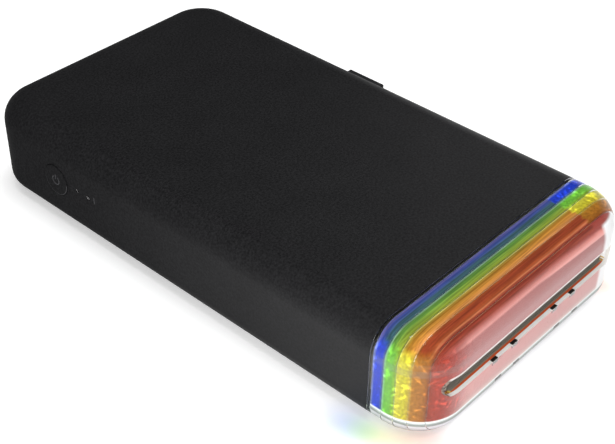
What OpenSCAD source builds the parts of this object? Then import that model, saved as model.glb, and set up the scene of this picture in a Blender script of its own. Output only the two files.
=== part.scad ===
// Compact dye-sublimation photo printer: a black slab body with a clear, rainbow-layered exit end.
// +X is the side with the cartridge door, -Y is the end where prints come out, +Z is up.
// The origin is under the middle of the body, on the surface that it stands on. Millimetres.

/* [Body] */
// Width of the body, without the door's finger tab
body_w = 80; // [79:0.5:84]
// Length of the body, from the exit end to the rear
body_l = 150; // [148:1:160]
// Height of the body above its feet
body_h = 26.2; // [26:0.1:29]
// Radius of the body's corners seen from above
corner_r = 12; // [10:0.5:13]
// Radius of the soft edge round the top
top_r = 7; // [6:0.5:7.5]
// Radius of the edge round the bottom
bottom_r = 4; // [3.4:0.1:4.4]
// Wall of the black housing
wall = 1.8; // [1.6:0.1:2]

/* [Clear end] */
// Length of the clear end cap
cap_l = 16.2; // [15.8:0.1:17.2]
// Wall of the clear end cap
cap_wall = 1.3; // [1:0.1:1.6]
// Wall of the clear end cap in front, round the slot
cap_front_wall = 1; // [0.8:0.1:1.2]
// Distance from one coloured layer to the next
layer_pitch = 3; // [2.7:0.1:3.1]
// Gap between two coloured layers
layer_gap = 0.1; // [0.05:0.05:0.3]
// Skin of the red layer in front of the chute
red_skin = 0.8; // [0.6:0.1:1.2]
// Width of the exit slot
slot_w = 66; // [64:0.5:67]
// Height of the exit slot
slot_h = 5; // [4.6:0.1:5.4]
// Height of the exit slot's lower edge above the table
slot_z = 12; // [11.6:0.1:12.4]

/* [Prints and ribbon] */
// Width of a print
print_w = 54; // [50:0.5:54]
// Length of a print
print_l = 86; // [80:1:86]
// Sheets in a full cartridge
sheets = 10; // [6:1:10]
// Thickness of one sheet
sheet_t = 0.25; // [0.2:0.01:0.26]
// Radius of the full ribbon roll
supply_roll_r = 3.5; // [3:0.1:3.8]
// Radius of the used ribbon roll
take_up_roll_r = 3; // [2.8:0.1:3.8]

/* [Rollers and gears] */
// Radius of the rubber platen roller
platen_r = 3.5; // [3:0.1:3.5]
// Radius of the steel grip roller
grip_r = 2.5; // [2.2:0.1:2.6]
// Radius of the pinch roller above the grip roller
pinch_r = 2; // [1.6:0.1:2.2]
// Radius of the pickup roller
pickup_r = 4; // [3.6:0.1:4]
// Radius of the roller shafts
shaft_r = 1.5; // [1.3:0.05:1.6]
// Module of the gears
gear_module = 0.5; // [0.48:0.01:0.5]
// Thickness of the gears
gear_t = 1.7; // [1.4:0.1:1.8]

/* [Controls] */
// Radius of the power button
button_r = 4.35; // [4:0.05:4.5]
// How far the power button moves in
button_travel = 0.45; // [0.3:0.05:0.45]
// Length of the door's finger tab
tab_l = 12; // [10:0.5:14]
// How far the finger tab stands out of the side
tab_out = 1.8; // [1.4:0.1:1.8]

/* [Fits] */
// Radial clearance of a shaft in a bearing
run_fit = 0.05; // [0.03:0.01:0.08]
// Gap round covers, doors and loose parts
part_gap = 0.2; // [0.15:0.01:0.25]

/* [Hidden] */
$fn = 64;

// Body outline
foot_h = 0.8;
half_w = body_w / 2;
end_y = body_l / 2;
top_z = foot_h + body_h;
corner_y = end_y - corner_r;
seam_y = cap_l - end_y;
floor_z = foot_h + wall;
ceiling_z = top_z - wall;
side_x = half_w - wall;
rear_y = end_y - wall;
past = 1;

// Coloured layers
layer_inset = cap_wall + 0.1;
front_push = cap_wall - cap_front_wall;
flange_t = 0.35;
first_layer_y = seam_y - flange_t - layer_gap;
spigot_l = 3.5;
spigot_t = 1.4;
spigot_inset = wall + 0.1;
cap_core_inset = spigot_inset + spigot_t;

// Paper path
path_z = 9.8;
feed_y = seam_y + 5.5;
grip_at = [feed_y, path_z - grip_r];
platen_at = [feed_y + 19.3, path_z - platen_r];
pinch_at = [grip_at[0], path_z + sheet_t + pinch_r];
pinch_shaft_r = 0.7;
pickup_at = [platen_at[0] + 30, path_z + 0.1 + pickup_r];
roller_half = print_w / 2 + 1.5;
pickup_half = 8;
paper_front_y = platen_at[0] + 8;
tray_front_y = paper_front_y - 0.9;
tray_rear_y = paper_front_y + print_l + 1.5;

// Exit chute
chute_wall = 0.8;
chute_half = print_w / 2 + 3.5;
chute_start_y = seam_y + 1.4;
chute_entry_low = path_z - 0.6;
chute_entry_high = path_z + 6.1;
chute_level_y = -end_y + 9;
chute_inset = layer_inset + red_skin + 0.1;
chute_end_y = -end_y + chute_inset - front_push;
slot_top_z = slot_z + slot_h;
layer_window_half = slot_w / 2;
layer_window_low = chute_entry_low - chute_wall + 0.2;
layer_window_high = slot_top_z + chute_wall + 0.2;
prong_x = [-15.5, -8, 8, 15.5];
prong_w = 2;
prong_low_z = slot_z - 1;
prong_run_z = slot_z - 0.4;
prong_front_y = -end_y + 0.15;
prong_back_y = -end_y + 0.9;

// Side plates
plate_t = 1;
gear_room = 7;
door_room = 3.2;
left_plate_x = -side_x + gear_room;
right_plate_x = side_x - door_room;
plate_front_y = seam_y + 1.6;
plate_low_z = floor_z + 0.3;
plate_top_z = ceiling_z - 1.1;
left_plate_end_y = tray_rear_y - 5.5;
right_plate_end_y = tray_rear_y + 2;
plate_notch_y = seam_y + spigot_l + 0.3;
core_r = top_r - cap_core_inset;
core_reach = right_plate_x + plate_t - half_w + top_r;
plate_notch_z = top_z - top_r + sqrt(core_r * core_r - core_reach * core_reach) - 0.2;
plate_window = [[feed_y + 77.3, 6], [feed_y + 99.3, 20]];
ear_t = 0.8;
ear_y = [feed_y + 8.3, feed_y + 73.3, feed_y + 103.3];
ear_l = 6;
ear_reach = 4.4;
ear_mid = 2.2;
bar_r = 1.2;
bars_at = [[feed_y - 2.1, 19.5], [feed_y + 107.3, 22.6]];

// Gear train, positions in the Y-Z plane, teeth and phases
teeth_platen = 12;
teeth_idler = 20;
teeth_pickup = 36;
teeth_motor = 10;
teeth_grip = 14;
teeth_take_up = 32;
gear_x = left_plate_x - 0.5 - gear_t;
belt_x = gear_x - 1.9;
belt_w = 1.6;
belt_t = 0.6;
platen_pulley_r = 2.8;
grip_pulley_r = 2;
pulley_w = 1.8;
arc_steps = 24;
addendum = 0.8 * gear_module;
dedendum = gear_module;

function centre_distance(a, b) = (a + b) * gear_module / 2;
function third_point(a, ra, b, rb, side) =
  let (d = norm(b - a), u = (b - a) / d, x = (ra * ra - rb * rb + d * d) / (2 * d))
  a + u * x + side * sqrt(ra * ra - x * x) * [-u[1], u[0]];
function angle_to(a, b) = atan2(b[1] - a[1], b[0] - a[0]);
function mesh_phase(a, teeth_a, phase_a, b, teeth_b) =
  angle_to(a, b) + 180 - 180 / teeth_b + (angle_to(a, b) - phase_a) * teeth_a / teeth_b;
function gear_corner(teeth, phase, i, part, r) =
  let (a = phase + (i + part) * 360 / teeth) r * [cos(a), sin(a)];

front_idler_angle = 35;
front_idler_at = platen_at + centre_distance(teeth_platen, teeth_idler)
  * [cos(front_idler_angle), sin(front_idler_angle)];
rear_idler_at = third_point(pickup_at, centre_distance(teeth_pickup, teeth_idler),
  front_idler_at, centre_distance(teeth_idler, teeth_idler), -1);
motor_angle = 16;
motor_at = pickup_at + centre_distance(teeth_pickup, teeth_motor) * [cos(motor_angle), sin(motor_angle)];
take_up_y = feed_y + 7.8;
take_up_distance = centre_distance(teeth_grip, teeth_take_up);
take_up_dy = take_up_y - grip_at[0];
take_up_at = [take_up_y, grip_at[1] + sqrt(take_up_distance * take_up_distance - take_up_dy * take_up_dy)];
supply_at = [take_up_y + 24.5, take_up_at[1]];
front_idler_phase = mesh_phase(platen_at, teeth_platen, 0, front_idler_at, teeth_idler);
rear_idler_phase = mesh_phase(front_idler_at, teeth_idler, front_idler_phase, rear_idler_at, teeth_idler);
pickup_phase = mesh_phase(rear_idler_at, teeth_idler, rear_idler_phase, pickup_at, teeth_pickup);
motor_phase = mesh_phase(pickup_at, teeth_pickup, pickup_phase, motor_at, teeth_motor);
take_up_phase = mesh_phase(grip_at, teeth_grip, 0, take_up_at, teeth_take_up);
bushing_r = shaft_r + 0.8;
bushing_flange_r = bushing_r + 0.6;
bushing_flange_t = 0.4;
stud_r = 1.2;
stud_head_r = 1.9;
stud_head_t = 0.4;
motor_shaft_r = 1;
motor_hole_r = 2.2;
feed_motor_r = 6;
feed_motor_l = 12.2;

// Cartridge
cart_x0 = left_plate_x + plate_t + 0.7;
cart_x1 = right_plate_x - 1;
end_plate_t = 2;
cap_plate_t = 1.2;
cart_low_z = 5.8;
tray_floor_t = 0.8;
tray_wall_t = 1.2;
tray_side_x = print_w / 2 + 0.6;
tray_top_z = path_z + 1.1;
tube_r = 5.4;
tube_wall = 0.7;
cart_top_z = take_up_at[1] + tube_r + 0.05;
cart_front_y = take_up_at[0] - tube_r - 0.2;
bridge_low_z = 10.6;
bridge_end_y = tray_front_y - 0.6;
film_z = path_z + 0.57;
film_t = 0.1;
film_half = print_w / 2 - 0.5;
spool_core_r = 2.5;
spool_flange_r = 4.4;
spool_flange_t = 0.5;
spool_hub_r = 2.1;
spool_pin_r = 1.4;
spool_half = print_w / 2;
drive_r = 1.45;
drive_flat = 1;
drive_fit = 0.12;
drive_tip_x = -spool_half + 0.7;
finger_dent = [[feed_y + 55.3, 10], [feed_y + 75.3, 17]];

// Door
door_front_y = cart_front_y - 1.7;
door_rear_y = tray_rear_y + 0.5;
door_top_z = cart_top_z + 0.4;
hinge_z = foot_h + bottom_r - 0.5;
hinge_x = half_w - wall / 2 - 0.05;
barrel_r = wall / 2;
hinge_pin_r = 0.5;
hinge_pin_l = 8;
tab_y = feed_y + 64.3;
tab_t = 1.6;
tab_top_z = door_top_z + 0.4;

// Print head
head_pivot_at = [platen_at[0] + 19.8, 22.4];
head_pivot_r = 1;
knuckle_r = 1.6;
arm_x = [-8, 20];
arm_w = 2;
roof_low_z = 22.1;
roof_t = 0.6;
roof_front_y = platen_at[0] - 5;
roof_rear_y = platen_at[0] + 11;
tail_low_z = 22.5;
tail_t = 0.7;
tail_end_y = head_pivot_at[0] + 9.8;
cam_at = [head_pivot_at[0] + 8.7, 20.9];
cam_r = 1.4;
cam_offset = 0.45;
cam_shaft_r = 1;
head_motor_r = 3;
head_motor_x0 = left_plate_x + plate_t + 2.2;
head_motor_x1 = head_motor_x0 + 15.2;
head_strip = [platen_at[0] - 3.2, platen_at[0] + 1.6];
head_strip_z = path_z + 2.15;
sink_y = [platen_at[0] - 4.4, platen_at[0] + 5.4];
sink_z = head_strip_z + 1.95;
bracket_end_x = 29;
bracket_leg_t = 1;
pickup_leg_x = 10;
bracket_screws = [1, 17];

// Deck, board and battery
deck_z = 11.3;
deck_t = 1;
deck_top_z = deck_z + deck_t;
deck_front_y = pickup_at[0] + 6.5;
deck_side_x = right_plate_x - 3.6;
deck_step_y = tray_rear_y + 1.2;
deck_rear_y = rear_y - 0.6;
boss_at = [side_x - 7.6, rear_y - 8.8];
boss_r = 2.2;
boss_shoulder_r = 3;
screw_r = 0.8;
board_z = deck_top_z + 0.7;
board_t = 1.2;
board_top_z = board_z + board_t;
board_half = side_x - 10.7;
board_rear_y = rear_y - 0.8;
board_front_y = board_rear_y - 26.4;
board_hole = [board_half - 3, board_front_y + 3, board_rear_y - 3.4];
post_r = 1.8;
usb_w = 8.94;
usb_h = 3.26;
usb_l = 7.3;
usb_z = board_top_z + usb_h / 2;
usb_front_y = rear_y + 0.3;
reset_x = 9;
battery_x = [left_plate_x + plate_t + feed_motor_l + 4, deck_side_x - 1.4];
battery_y = [pickup_at[0] + 8, board_front_y - 2];
battery_h = 8;
lead_x = [board_half - 8.5, board_half - 6.5];
lead_r = 0.5;

// Controls
button_at = [end_y - 28.5, 13.4];
button_proud = 0.25;
button_flange_t = 0.6;
button_back_x = -side_x + 0.2;
button_stem_r = 1.2;
button_stem_l = 0.5;
switch_board_x = -side_x + 3.6;
switch_board_t = 0.8;
switch_board_y = [button_at[0] - 17.5, button_at[0] + 7];
switch_board_z = [8.4, 18.4];
switch_posts = [[button_at[0] - 16, 10], [button_at[0] + 5.8, 17]];
switch_post_r = 1.3;
lamps = [[button_at[0] - 8.4, 14, 0.45], [button_at[0] - 12.6, 13.9, 0.6]];
lamp_fit = 0.03;

// Bottom cover
cover_w = 2 * (side_x - 3.2);
cover_front_y = seam_y + 9.8;
cover_rear_y = boss_at[1] + 4.6;
cover_l = cover_rear_y - cover_front_y;
cover_y = (cover_front_y + cover_rear_y) / 2;
cover_r = 7;
cover_step = 2;
cover_skin = 0.9;
rib_y = [tray_front_y + 6.9, tray_front_y + 41.9, tray_front_y + 76.9];
rib_t = 1.2;
foot_r = 4;
foot_sunk = 0.4;
feet_at = [[cover_w / 2 - 8, cover_front_y + 7], [cover_w / 2 - 8, cover_rear_y - 9]];

// A flat shape in the Y-Z plane, drawn out along X
module along_x(x0, x1) {
  translate([x0, 0, 0]) rotate([90, 0, 90]) linear_extrude(x1 - x0) children();
}

// A flat shape in the X-Z plane, drawn out along Y
module along_y(y0, y1) {
  translate([0, y1, 0]) rotate([90, 0, 0]) linear_extrude(y1 - y0) children();
}

module both_sides() {
  for (side = [0, 1])
    mirror([side, 0, 0]) children();
}

module rod(x0, x1, at, r) {
  along_x(x0, x1) translate(at) circle(r);
}

module block(low, high) {
  translate(low) cube(high - low);
}

module rectangle(corners) {
  translate(corners[0]) square(corners[1] - corners[0]);
}

module rounded_plate(w, l, r) {
  square([w - 2 * r, l], center = true);
  square([w, l - 2 * r], center = true);
  for (x = [-1, 1], y = [-1, 1])
    translate([x * (w / 2 - r), y * (l / 2 - r)]) circle(r);
}

// Half of the body's cross-section: from the middle plane out to reach, shrunk by inset
module half_profile(reach, inset) {
  upper = top_r - inset;
  lower = bottom_r - inset;
  edge = reach - inset;
  difference() {
    translate([0, foot_h + inset]) square([edge, body_h - 2 * inset]);
    translate([edge - upper, top_z - inset - upper]) difference() {
      square(upper + past);
      circle(upper);
    }
    if (lower > 0)
      translate([edge - lower, foot_h + inset - past]) difference() {
        square([lower + past, lower + past]);
        translate([0, lower + past]) circle(lower);
      }
  }
}

// The straight length of the body, from y0 to y1, shrunk by inset
module straight_body(y0, y1, inset) {
  both_sides() along_y(y0, y1) half_profile(half_w, inset);
}

// The rear end of the body with its two round corners
module round_end(inset) {
  middle = half_w - corner_r;
  translate([0, corner_y, 0]) along_x(-middle, middle) half_profile(corner_r, inset);
  both_sides()
    translate([middle, corner_y, 0]) rotate_extrude(angle = 90) half_profile(corner_r, inset);
}

// Everything in front of stop_y, shrunk by inset, and a little less in front
module front_block(inset, stop_y) {
  push = inset > 0 ? front_push : 0;
  straight_body(-corner_y - push, stop_y, inset);
  translate([0, -push, 0]) mirror([0, 1, 0]) round_end(inset);
}

module front_slice(y0, y1, inset) {
  intersection() {
    front_block(inset, seam_y);
    block([-body_w, y0, 0], [body_w, y1, 2 * body_h]);
  }
}

module slot_shape(w, h) {
  square([w - h, h], center = true);
  for (side = [-1, 1])
    translate([side * (w - h) / 2, 0]) circle(h / 2);
}

module exit_slot(y0, y1) {
  translate([0, 0, slot_z + slot_h / 2]) along_y(y0, y1) slot_shape(slot_w, slot_h);
}

module gear_shape(teeth, phase) {
  r = teeth * gear_module / 2;
  low = r - dedendum;
  high = r + addendum;
  polygon([for (i = [0 : teeth - 1], c = [[-0.29, low], [-0.1, high], [0.1, high], [0.29, low]])
    gear_corner(teeth, phase, i, c[0], c[1])]);
}

module gear(at, teeth, phase) {
  along_x(gear_x, gear_x + gear_t) translate(at) gear_shape(teeth, phase);
}

// Points along an arc round a centre, from one angle over a sweep
function arc_points(at, r, start, sweep) =
  [for (i = [0 : arc_steps]) let (a = start + sweep * i / arc_steps) at + r * [cos(a), sin(a)]];

// A band round two circles, as a belt lies
module band_shape(a, ra, b, rb) {
  lean = acos((ra - rb) / norm(b - a));
  turn = angle_to(a, b);
  polygon(concat(
    arc_points(a, ra, turn + lean, 360 - 2 * lean),
    arc_points(b, rb, turn - lean, 2 * lean)
  ));
}

module housing() {
  color("#262627")
  difference() {
    union() {
      difference() {
        union() {
          straight_body(seam_y, corner_y, 0);
          round_end(0);
        }
        straight_body(seam_y - past, corner_y, wall);
        round_end(wall);
      }
      both_sides() translate(boss_at) {
        translate([0, 0, floor_z + 0.1]) cylinder(r = boss_r, h = ceiling_z - floor_z + 0.3);
        translate([0, 0, deck_top_z]) cylinder(r = boss_shoulder_r, h = ceiling_z - deck_top_z + 0.3);
      }
      for (y = ear_y, x = [left_plate_x + plate_t + ear_mid, right_plate_x - ear_mid])
        translate([x, y, plate_top_z]) cylinder(r = 2, h = ceiling_z - plate_top_z + 0.3);
      for (p = switch_posts)
        rod(-side_x - 0.3, switch_board_x, p, switch_post_r);
    }
    cover_opening();
    door_opening();
    rod(-half_w - past, -side_x + past, button_at, button_r + 0.15);
    for (lamp = lamps)
      rod(-half_w - past, -side_x + past, [lamp[0], lamp[1]], lamp[2] + lamp_fit);
    translate([0, 0, usb_z]) along_y(rear_y - past, end_y + past) slot_shape(usb_w + 0.5, usb_h + 0.5);
    translate([reset_x, 0, usb_z]) along_y(rear_y - past, end_y + past) circle(0.5);
    both_sides() translate([boss_at[0], boss_at[1], 0]) cylinder(r = screw_r, h = 9);
    for (p = screw_places())
      translate([p[0], p[1], ceiling_z - 2]) cylinder(r = screw_r, h = 3.1);
  }
}

module cover_opening() {
  translate([0, cover_y, 0]) {
    linear_extrude(foot_h + cover_skin + 0.05)
      rounded_plate(cover_w + 2 * part_gap, cover_l + 2 * part_gap, cover_r + part_gap);
    linear_extrude(floor_z + 0.05)
      rounded_plate(cover_w - 2 * cover_step + 2 * part_gap, cover_l - 2 * cover_step + 2 * part_gap,
        cover_r - cover_step + part_gap);
  }
}

module door_opening() {
  y0 = door_front_y - part_gap;
  y1 = door_rear_y + part_gap;
  block([side_x - past, y0, hinge_z], [half_w + past, y1, door_top_z + part_gap]);
  block([hinge_x, y0, hinge_z - barrel_r - 0.15], [half_w + past, y1, door_top_z]);
  along_y(y0, y1) translate([hinge_x, hinge_z]) circle(barrel_r + part_gap);
  block([half_w - wall + 0.4, tab_y - tab_l / 2 - part_gap, door_top_z],
    [half_w + past, tab_y + tab_l / 2 + part_gap, tab_top_z + part_gap]);
  along_y(door_front_y - hinge_pin_l / 2, door_rear_y + hinge_pin_l / 2)
    translate([hinge_x, hinge_z]) circle(hinge_pin_r);
}

module bottom_cover() {
  color("#222223")
  difference() {
    union() {
      translate([0, cover_y, foot_h]) {
        linear_extrude(cover_skin) rounded_plate(cover_w, cover_l, cover_r);
        linear_extrude(wall)
          rounded_plate(cover_w - 2 * cover_step, cover_l - 2 * cover_step, cover_r - cover_step);
      }
      for (y = rib_y)
        block([cart_x0 + 1.5, y - rib_t / 2, floor_z - 0.3], [cart_x1 - 3, y + rib_t / 2, cart_low_z - 0.2]);
      for (x = [-24, 18])
        cover_tongue(x, 6);
    }
    both_sides() for (p = feet_at)
      translate([p[0], p[1], 0]) cylinder(r = foot_r, h = foot_h + foot_sunk);
    both_sides() translate([boss_at[0], boss_at[1], 0]) {
      cylinder(r = screw_r, h = floor_z + past);
      cylinder(r = 1.7, h = foot_h + cover_skin);
    }
  }
}

// A tongue on the front edge of the cover that hooks over the housing's floor
module cover_tongue(x, w) {
  front = cover_front_y;
  block([x, front + cover_step, floor_z - 0.3], [x + w, front + cover_step + 1.5, floor_z + 0.8]);
  block([x, front - 0.5, floor_z + 0.1], [x + w, front + cover_step + 1.5, floor_z + 0.8]);
}

module bottom_screws() {
  color("#8a8c8f")
  both_sides() translate([boss_at[0], boss_at[1], foot_h + 0.1]) {
    difference() {
      cylinder(r = 1.6, h = cover_skin - 0.1);
      cylinder(r = 0.7, h = 0.5, $fn = 6);
    }
    cylinder(r = screw_r, h = 7.5);
  }
}

module rubber_feet() {
  color("#19191a")
  both_sides() for (p = feet_at)
    translate([p[0], p[1], 0]) cylinder(r = foot_r, h = foot_h + foot_sunk);
}

module front_cap() {
  color([0.92, 0.96, 0.98, 0.3])
  difference() {
    union() {
      difference() {
        front_block(0, seam_y);
        front_block(cap_wall, seam_y + past);
      }
      difference() {
        straight_body(seam_y - flange_t, seam_y, cap_wall - 0.2);
        straight_body(seam_y - past, seam_y + past, cap_core_inset);
      }
      difference() {
        straight_body(seam_y - flange_t / 2, seam_y + spigot_l, spigot_inset);
        straight_body(seam_y - past, seam_y + spigot_l + past, cap_core_inset);
        block([0.2 + cap_core_inset - half_w, seam_y + 0.01, 0],
          [half_w - cap_core_inset - 0.2, seam_y + spigot_l + past, slot_z - 5]);
      }
    }
    exit_slot(-end_y - past, -end_y + 6);
    for (x = prong_x)
      prong(x, 0.08);
  }
}

// One coloured layer, with the window that the chute passes through
module coloured_layer(place) {
  y1 = first_layer_y - place * layer_pitch;
  difference() {
    front_slice(y1 - layer_pitch + layer_gap, y1, layer_inset);
    block([-layer_window_half, y1 - layer_pitch - past, layer_window_low],
      [layer_window_half, y1 + past, layer_window_high]);
  }
}

module blue_layer() {
  color([0.1, 0.25, 0.9, 0.75]) coloured_layer(0);
}

module green_layer() {
  color([0.2, 0.8, 0.15, 0.75]) coloured_layer(1);
}

module yellow_layer() {
  color([1, 0.9, 0.1, 0.75]) coloured_layer(2);
}

module orange_layer() {
  color([0.95, 0.55, 0.1, 0.75]) coloured_layer(3);
}

module red_layer() {
  color([0.85, 0.12, 0.1, 0.75])
  difference() {
    front_slice(-end_y, first_layer_y - 4 * layer_pitch, layer_inset);
    intersection() {
      front_block(layer_inset + red_skin, seam_y);
      block([-layer_window_half, -end_y, layer_window_low + 2],
        [layer_window_half, seam_y, layer_window_high]);
    }
    exit_slot(-end_y, -end_y + 6);
    for (x = prong_x)
      prong(x, 0.08);
  }
}

// A guide prong of the chute: it runs under the slot and comes up at the mouth
module prong(x, gap) {
  half = prong_w / 2 + gap;
  block([x - half, prong_front_y - gap, prong_low_z - gap], [x + half, -end_y + 4, prong_run_z + gap]);
  block([x - half, prong_front_y - gap, prong_low_z - gap], [x + half, prong_back_y + gap, slot_z + gap]);
}

function chute_passage(grow) = [
  [chute_start_y + past - grow * 2, chute_entry_low - grow], [chute_end_y, slot_z - grow],
  [-end_y - past, slot_z - grow], [-end_y - past, slot_top_z + grow],
  [chute_level_y, slot_top_z + grow], [chute_start_y + past - grow * 2, chute_entry_high + grow]
];

module exit_chute() {
  color("#1b1b1c")
  difference() {
    union() {
      intersection() {
        along_x(-chute_half - chute_wall, chute_half + chute_wall) polygon(chute_passage(chute_wall));
        front_block(chute_inset, seam_y + 2);
      }
      front_slice(seam_y - flange_t, seam_y, cap_core_inset + 0.2);
      for (x = prong_x)
        prong(x, 0);
    }
    along_x(-chute_half, chute_half) polygon(chute_passage(0));
  }
}

module indicator_lenses() {
  color([0.9, 0.9, 0.92, 0.6])
  for (lamp = lamps)
    rod(-half_w, switch_board_x - 1.4, [lamp[0], lamp[1]], lamp[2]);
}

module plate_outline(end) {
  polygon([
    [plate_front_y, plate_low_z], [end, plate_low_z], [end, plate_top_z],
    [plate_notch_y, plate_top_z], [plate_notch_y, plate_notch_z], [plate_front_y, plate_notch_z]
  ]);
}

// An ear bent inwards from a side plate, screwed up to the ceiling of the housing
module plate_ears(x0) {
  for (y = ear_y)
    difference() {
      block([x0, y - ear_l / 2, plate_top_z - ear_t], [x0 + ear_reach, y + ear_l / 2, plate_top_z]);
      translate([x0 + ear_reach / 2, y, plate_top_z - past]) cylinder(r = screw_r, h = 2);
    }
}

module left_side_plate() {
  color("#b9bcc0")
  difference() {
    union() {
      along_x(left_plate_x, left_plate_x + plate_t) plate_outline(left_plate_end_y);
      plate_ears(left_plate_x + plate_t);
    }
    for (at = [platen_at, grip_at, take_up_at, pickup_at])
      rod(left_plate_x - past, left_plate_x + 2, at, bushing_r);
    for (at = [front_idler_at, rear_idler_at])
      rod(left_plate_x - past, left_plate_x + 2, at, stud_r);
    rod(left_plate_x - past, left_plate_x + 2, motor_at, motor_hole_r);
    rod(left_plate_x - past, left_plate_x + 2, pinch_at, pinch_shaft_r + run_fit);
    along_x(left_plate_x - past, left_plate_x + 2) rectangle(plate_window);
  }
}

module right_side_plate() {
  color("#b9bcc0")
  difference() {
    union() {
      along_x(right_plate_x, right_plate_x + plate_t) plate_outline(right_plate_end_y);
      plate_ears(right_plate_x - ear_reach);
    }
    along_x(right_plate_x - past, right_plate_x + 2) polygon([
      [cart_front_y - part_gap, bridge_low_z - 0.3], [bridge_end_y - 0.1, bridge_low_z - 0.3],
      [bridge_end_y - 0.1, cart_low_z - 0.3], [tray_rear_y + 0.3, cart_low_z - 0.3],
      [tray_rear_y + 0.3, cart_top_z + 0.3], [cart_front_y - part_gap, cart_top_z + 0.3]
    ]);
    for (at = [platen_at, grip_at])
      rod(right_plate_x - past, right_plate_x + 2, at, bushing_r);
    rod(right_plate_x - past, right_plate_x + 2, pinch_at, pinch_shaft_r + run_fit);
  }
}

// Centres of the screws in the ears and in the overhead bracket, and the level of each joint
function screw_places() = concat(
  [for (y = ear_y, x = [left_plate_x + plate_t + ear_mid, right_plate_x - ear_mid])
    [x, y, plate_top_z - ear_t]],
  [for (x = bracket_screws) [x, pickup_at[0] + 5.5, ceiling_z - ear_t]]
);

module small_screw() {
  difference() {
    translate([0, 0, -0.8]) cylinder(r = 1.4, h = 0.8);
    translate([0, 0, -1]) cylinder(r = 0.6, h = 0.6, $fn = 6);
  }
  translate([0, 0, -0.1]) cylinder(r = screw_r, h = 1.9);
}

module small_screws() {
  color("#7d8084") {
    for (p = screw_places())
      translate(p) small_screw();
    both_sides() for (y = [board_hole[1], board_hole[2]])
      translate([board_hole[0], y, board_top_z]) rotate([180, 0, 0]) small_screw();
  }
}

module tie_bars() {
  color("#9da0a4")
  for (at = bars_at)
    rod(left_plate_x + plate_t, right_plate_x, at, bar_r);
}

module overhead_bracket() {
  color("#a9acb0")
  difference() {
    union() {
      block([head_motor_x1, cam_at[0] - 3.5, ceiling_z - ear_t], [bracket_end_x, pickup_at[0] + 8, ceiling_z]);
      block([head_motor_x1, cam_at[0] - 3.5, cam_at[1] - head_motor_r],
        [head_motor_x1 + ear_t, cam_at[0] + 3.5, ceiling_z]);
      block([pickup_leg_x, pickup_at[0] - 4.5, pickup_at[1] - 2.6],
        [pickup_leg_x + bracket_leg_t, pickup_at[0] + 3.5, ceiling_z]);
      block([bracket_end_x - bracket_leg_t, cam_at[0] - 3, cam_at[1] - 2],
        [bracket_end_x, cam_at[0] + 3, ceiling_z]);
    }
    rod(head_motor_x1 - past, bracket_end_x + past, cam_at, cam_shaft_r + run_fit);
    rod(pickup_leg_x - past, pickup_leg_x + 2, pickup_at, shaft_r + run_fit);
    for (x = bracket_screws)
      translate([x, pickup_at[0] + 5.5, ceiling_z - 2]) cylinder(r = screw_r, h = 3);
  }
}

module head_pivot_shaft() {
  color("#c4c7ca")
  rod(left_plate_x + plate_t, right_plate_x, head_pivot_at, head_pivot_r);
}

module bushing(x, inward, at) {
  difference() {
    union() {
      rod(x, x + plate_t, at, bushing_r);
      flange_x = inward > 0 ? x + plate_t : x - bushing_flange_t;
      rod(flange_x, flange_x + bushing_flange_t, at, bushing_flange_r);
    }
    rod(x - past, x + 2, at, shaft_r + run_fit);
  }
}

module shaft_bushings() {
  color("#b08d4f") {
    for (at = [platen_at, grip_at, take_up_at, pickup_at])
      bushing(left_plate_x, 1, at);
    for (at = [platen_at, grip_at])
      bushing(right_plate_x, -1, at);
  }
}

module idler_studs() {
  color("#c4c7ca")
  for (at = [front_idler_at, rear_idler_at]) {
    rod(gear_x - 0.2, left_plate_x + plate_t, at, stud_r);
    rod(gear_x - 0.2 - stud_head_t, gear_x - 0.2, at, stud_head_r);
    rod(left_plate_x - 0.4, left_plate_x, at, stud_head_r);
  }
}

module feed_motor() {
  x0 = left_plate_x + plate_t;
  color("#8f9296") {
    rod(x0, x0 + feed_motor_l, motor_at, feed_motor_r);
    rod(x0 + feed_motor_l - 0.1, x0 + feed_motor_l + 1.5, motor_at, 2);
  }
}

module head_motor() {
  color("#8f9296")
  rod(head_motor_x0, head_motor_x1, cam_at, head_motor_r);
}

// Leaf springs from the front tie bar down to the ends of the pinch roller
module pinch_springs() {
  top = [bars_at[0][0], bars_at[0][1] - bar_r];
  low = [pinch_at[0], pinch_at[1] + pinch_shaft_r + 0.1];
  color("#d0d2d4")
  for (x = [left_plate_x + plate_t + 0.3, right_plate_x - 1.3])
    along_x(x, x + 1) polygon([
      top + [-0.2, 0.02], top + [0.2, 0.02], low + [0.2, 0], low + [-0.2, 0]
    ]);
}

module deck() {
  notch_y = motor_at[0] + feed_motor_r + 0.9;
  notch_x = left_plate_x + plate_t + feed_motor_l + 2.5;
  color("#2c2d2f")
  difference() {
    union() {
      block([left_plate_x + plate_t, notch_y, deck_z], [deck_side_x, deck_step_y, deck_top_z]);
      block([notch_x, deck_front_y, deck_z], [deck_side_x, notch_y + past, deck_top_z]);
      for (end = [[3.7, deck_step_y - past, deck_rear_y - 4], [8.2, deck_rear_y - 5, deck_rear_y]])
        block([end[0] - side_x, end[1], deck_z], [side_x - end[0], end[2], deck_top_z]);
      both_sides() for (y = [board_hole[1], board_hole[2]])
        translate([board_hole[0], y, deck_top_z - 0.1]) cylinder(r = post_r, h = board_z - deck_top_z + 0.1);
    }
    both_sides() translate([boss_at[0], boss_at[1], deck_z - past]) cylinder(r = boss_r + run_fit, h = 3);
    block([-half_w, deck_step_y - 2, deck_z - past], [left_plate_x + plate_t, deck_step_y, deck_top_z + past]);
    both_sides() for (y = [board_hole[1], board_hole[2]])
      translate([board_hole[0], y, deck_z - past]) cylinder(r = screw_r, h = 5);
  }
}

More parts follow.
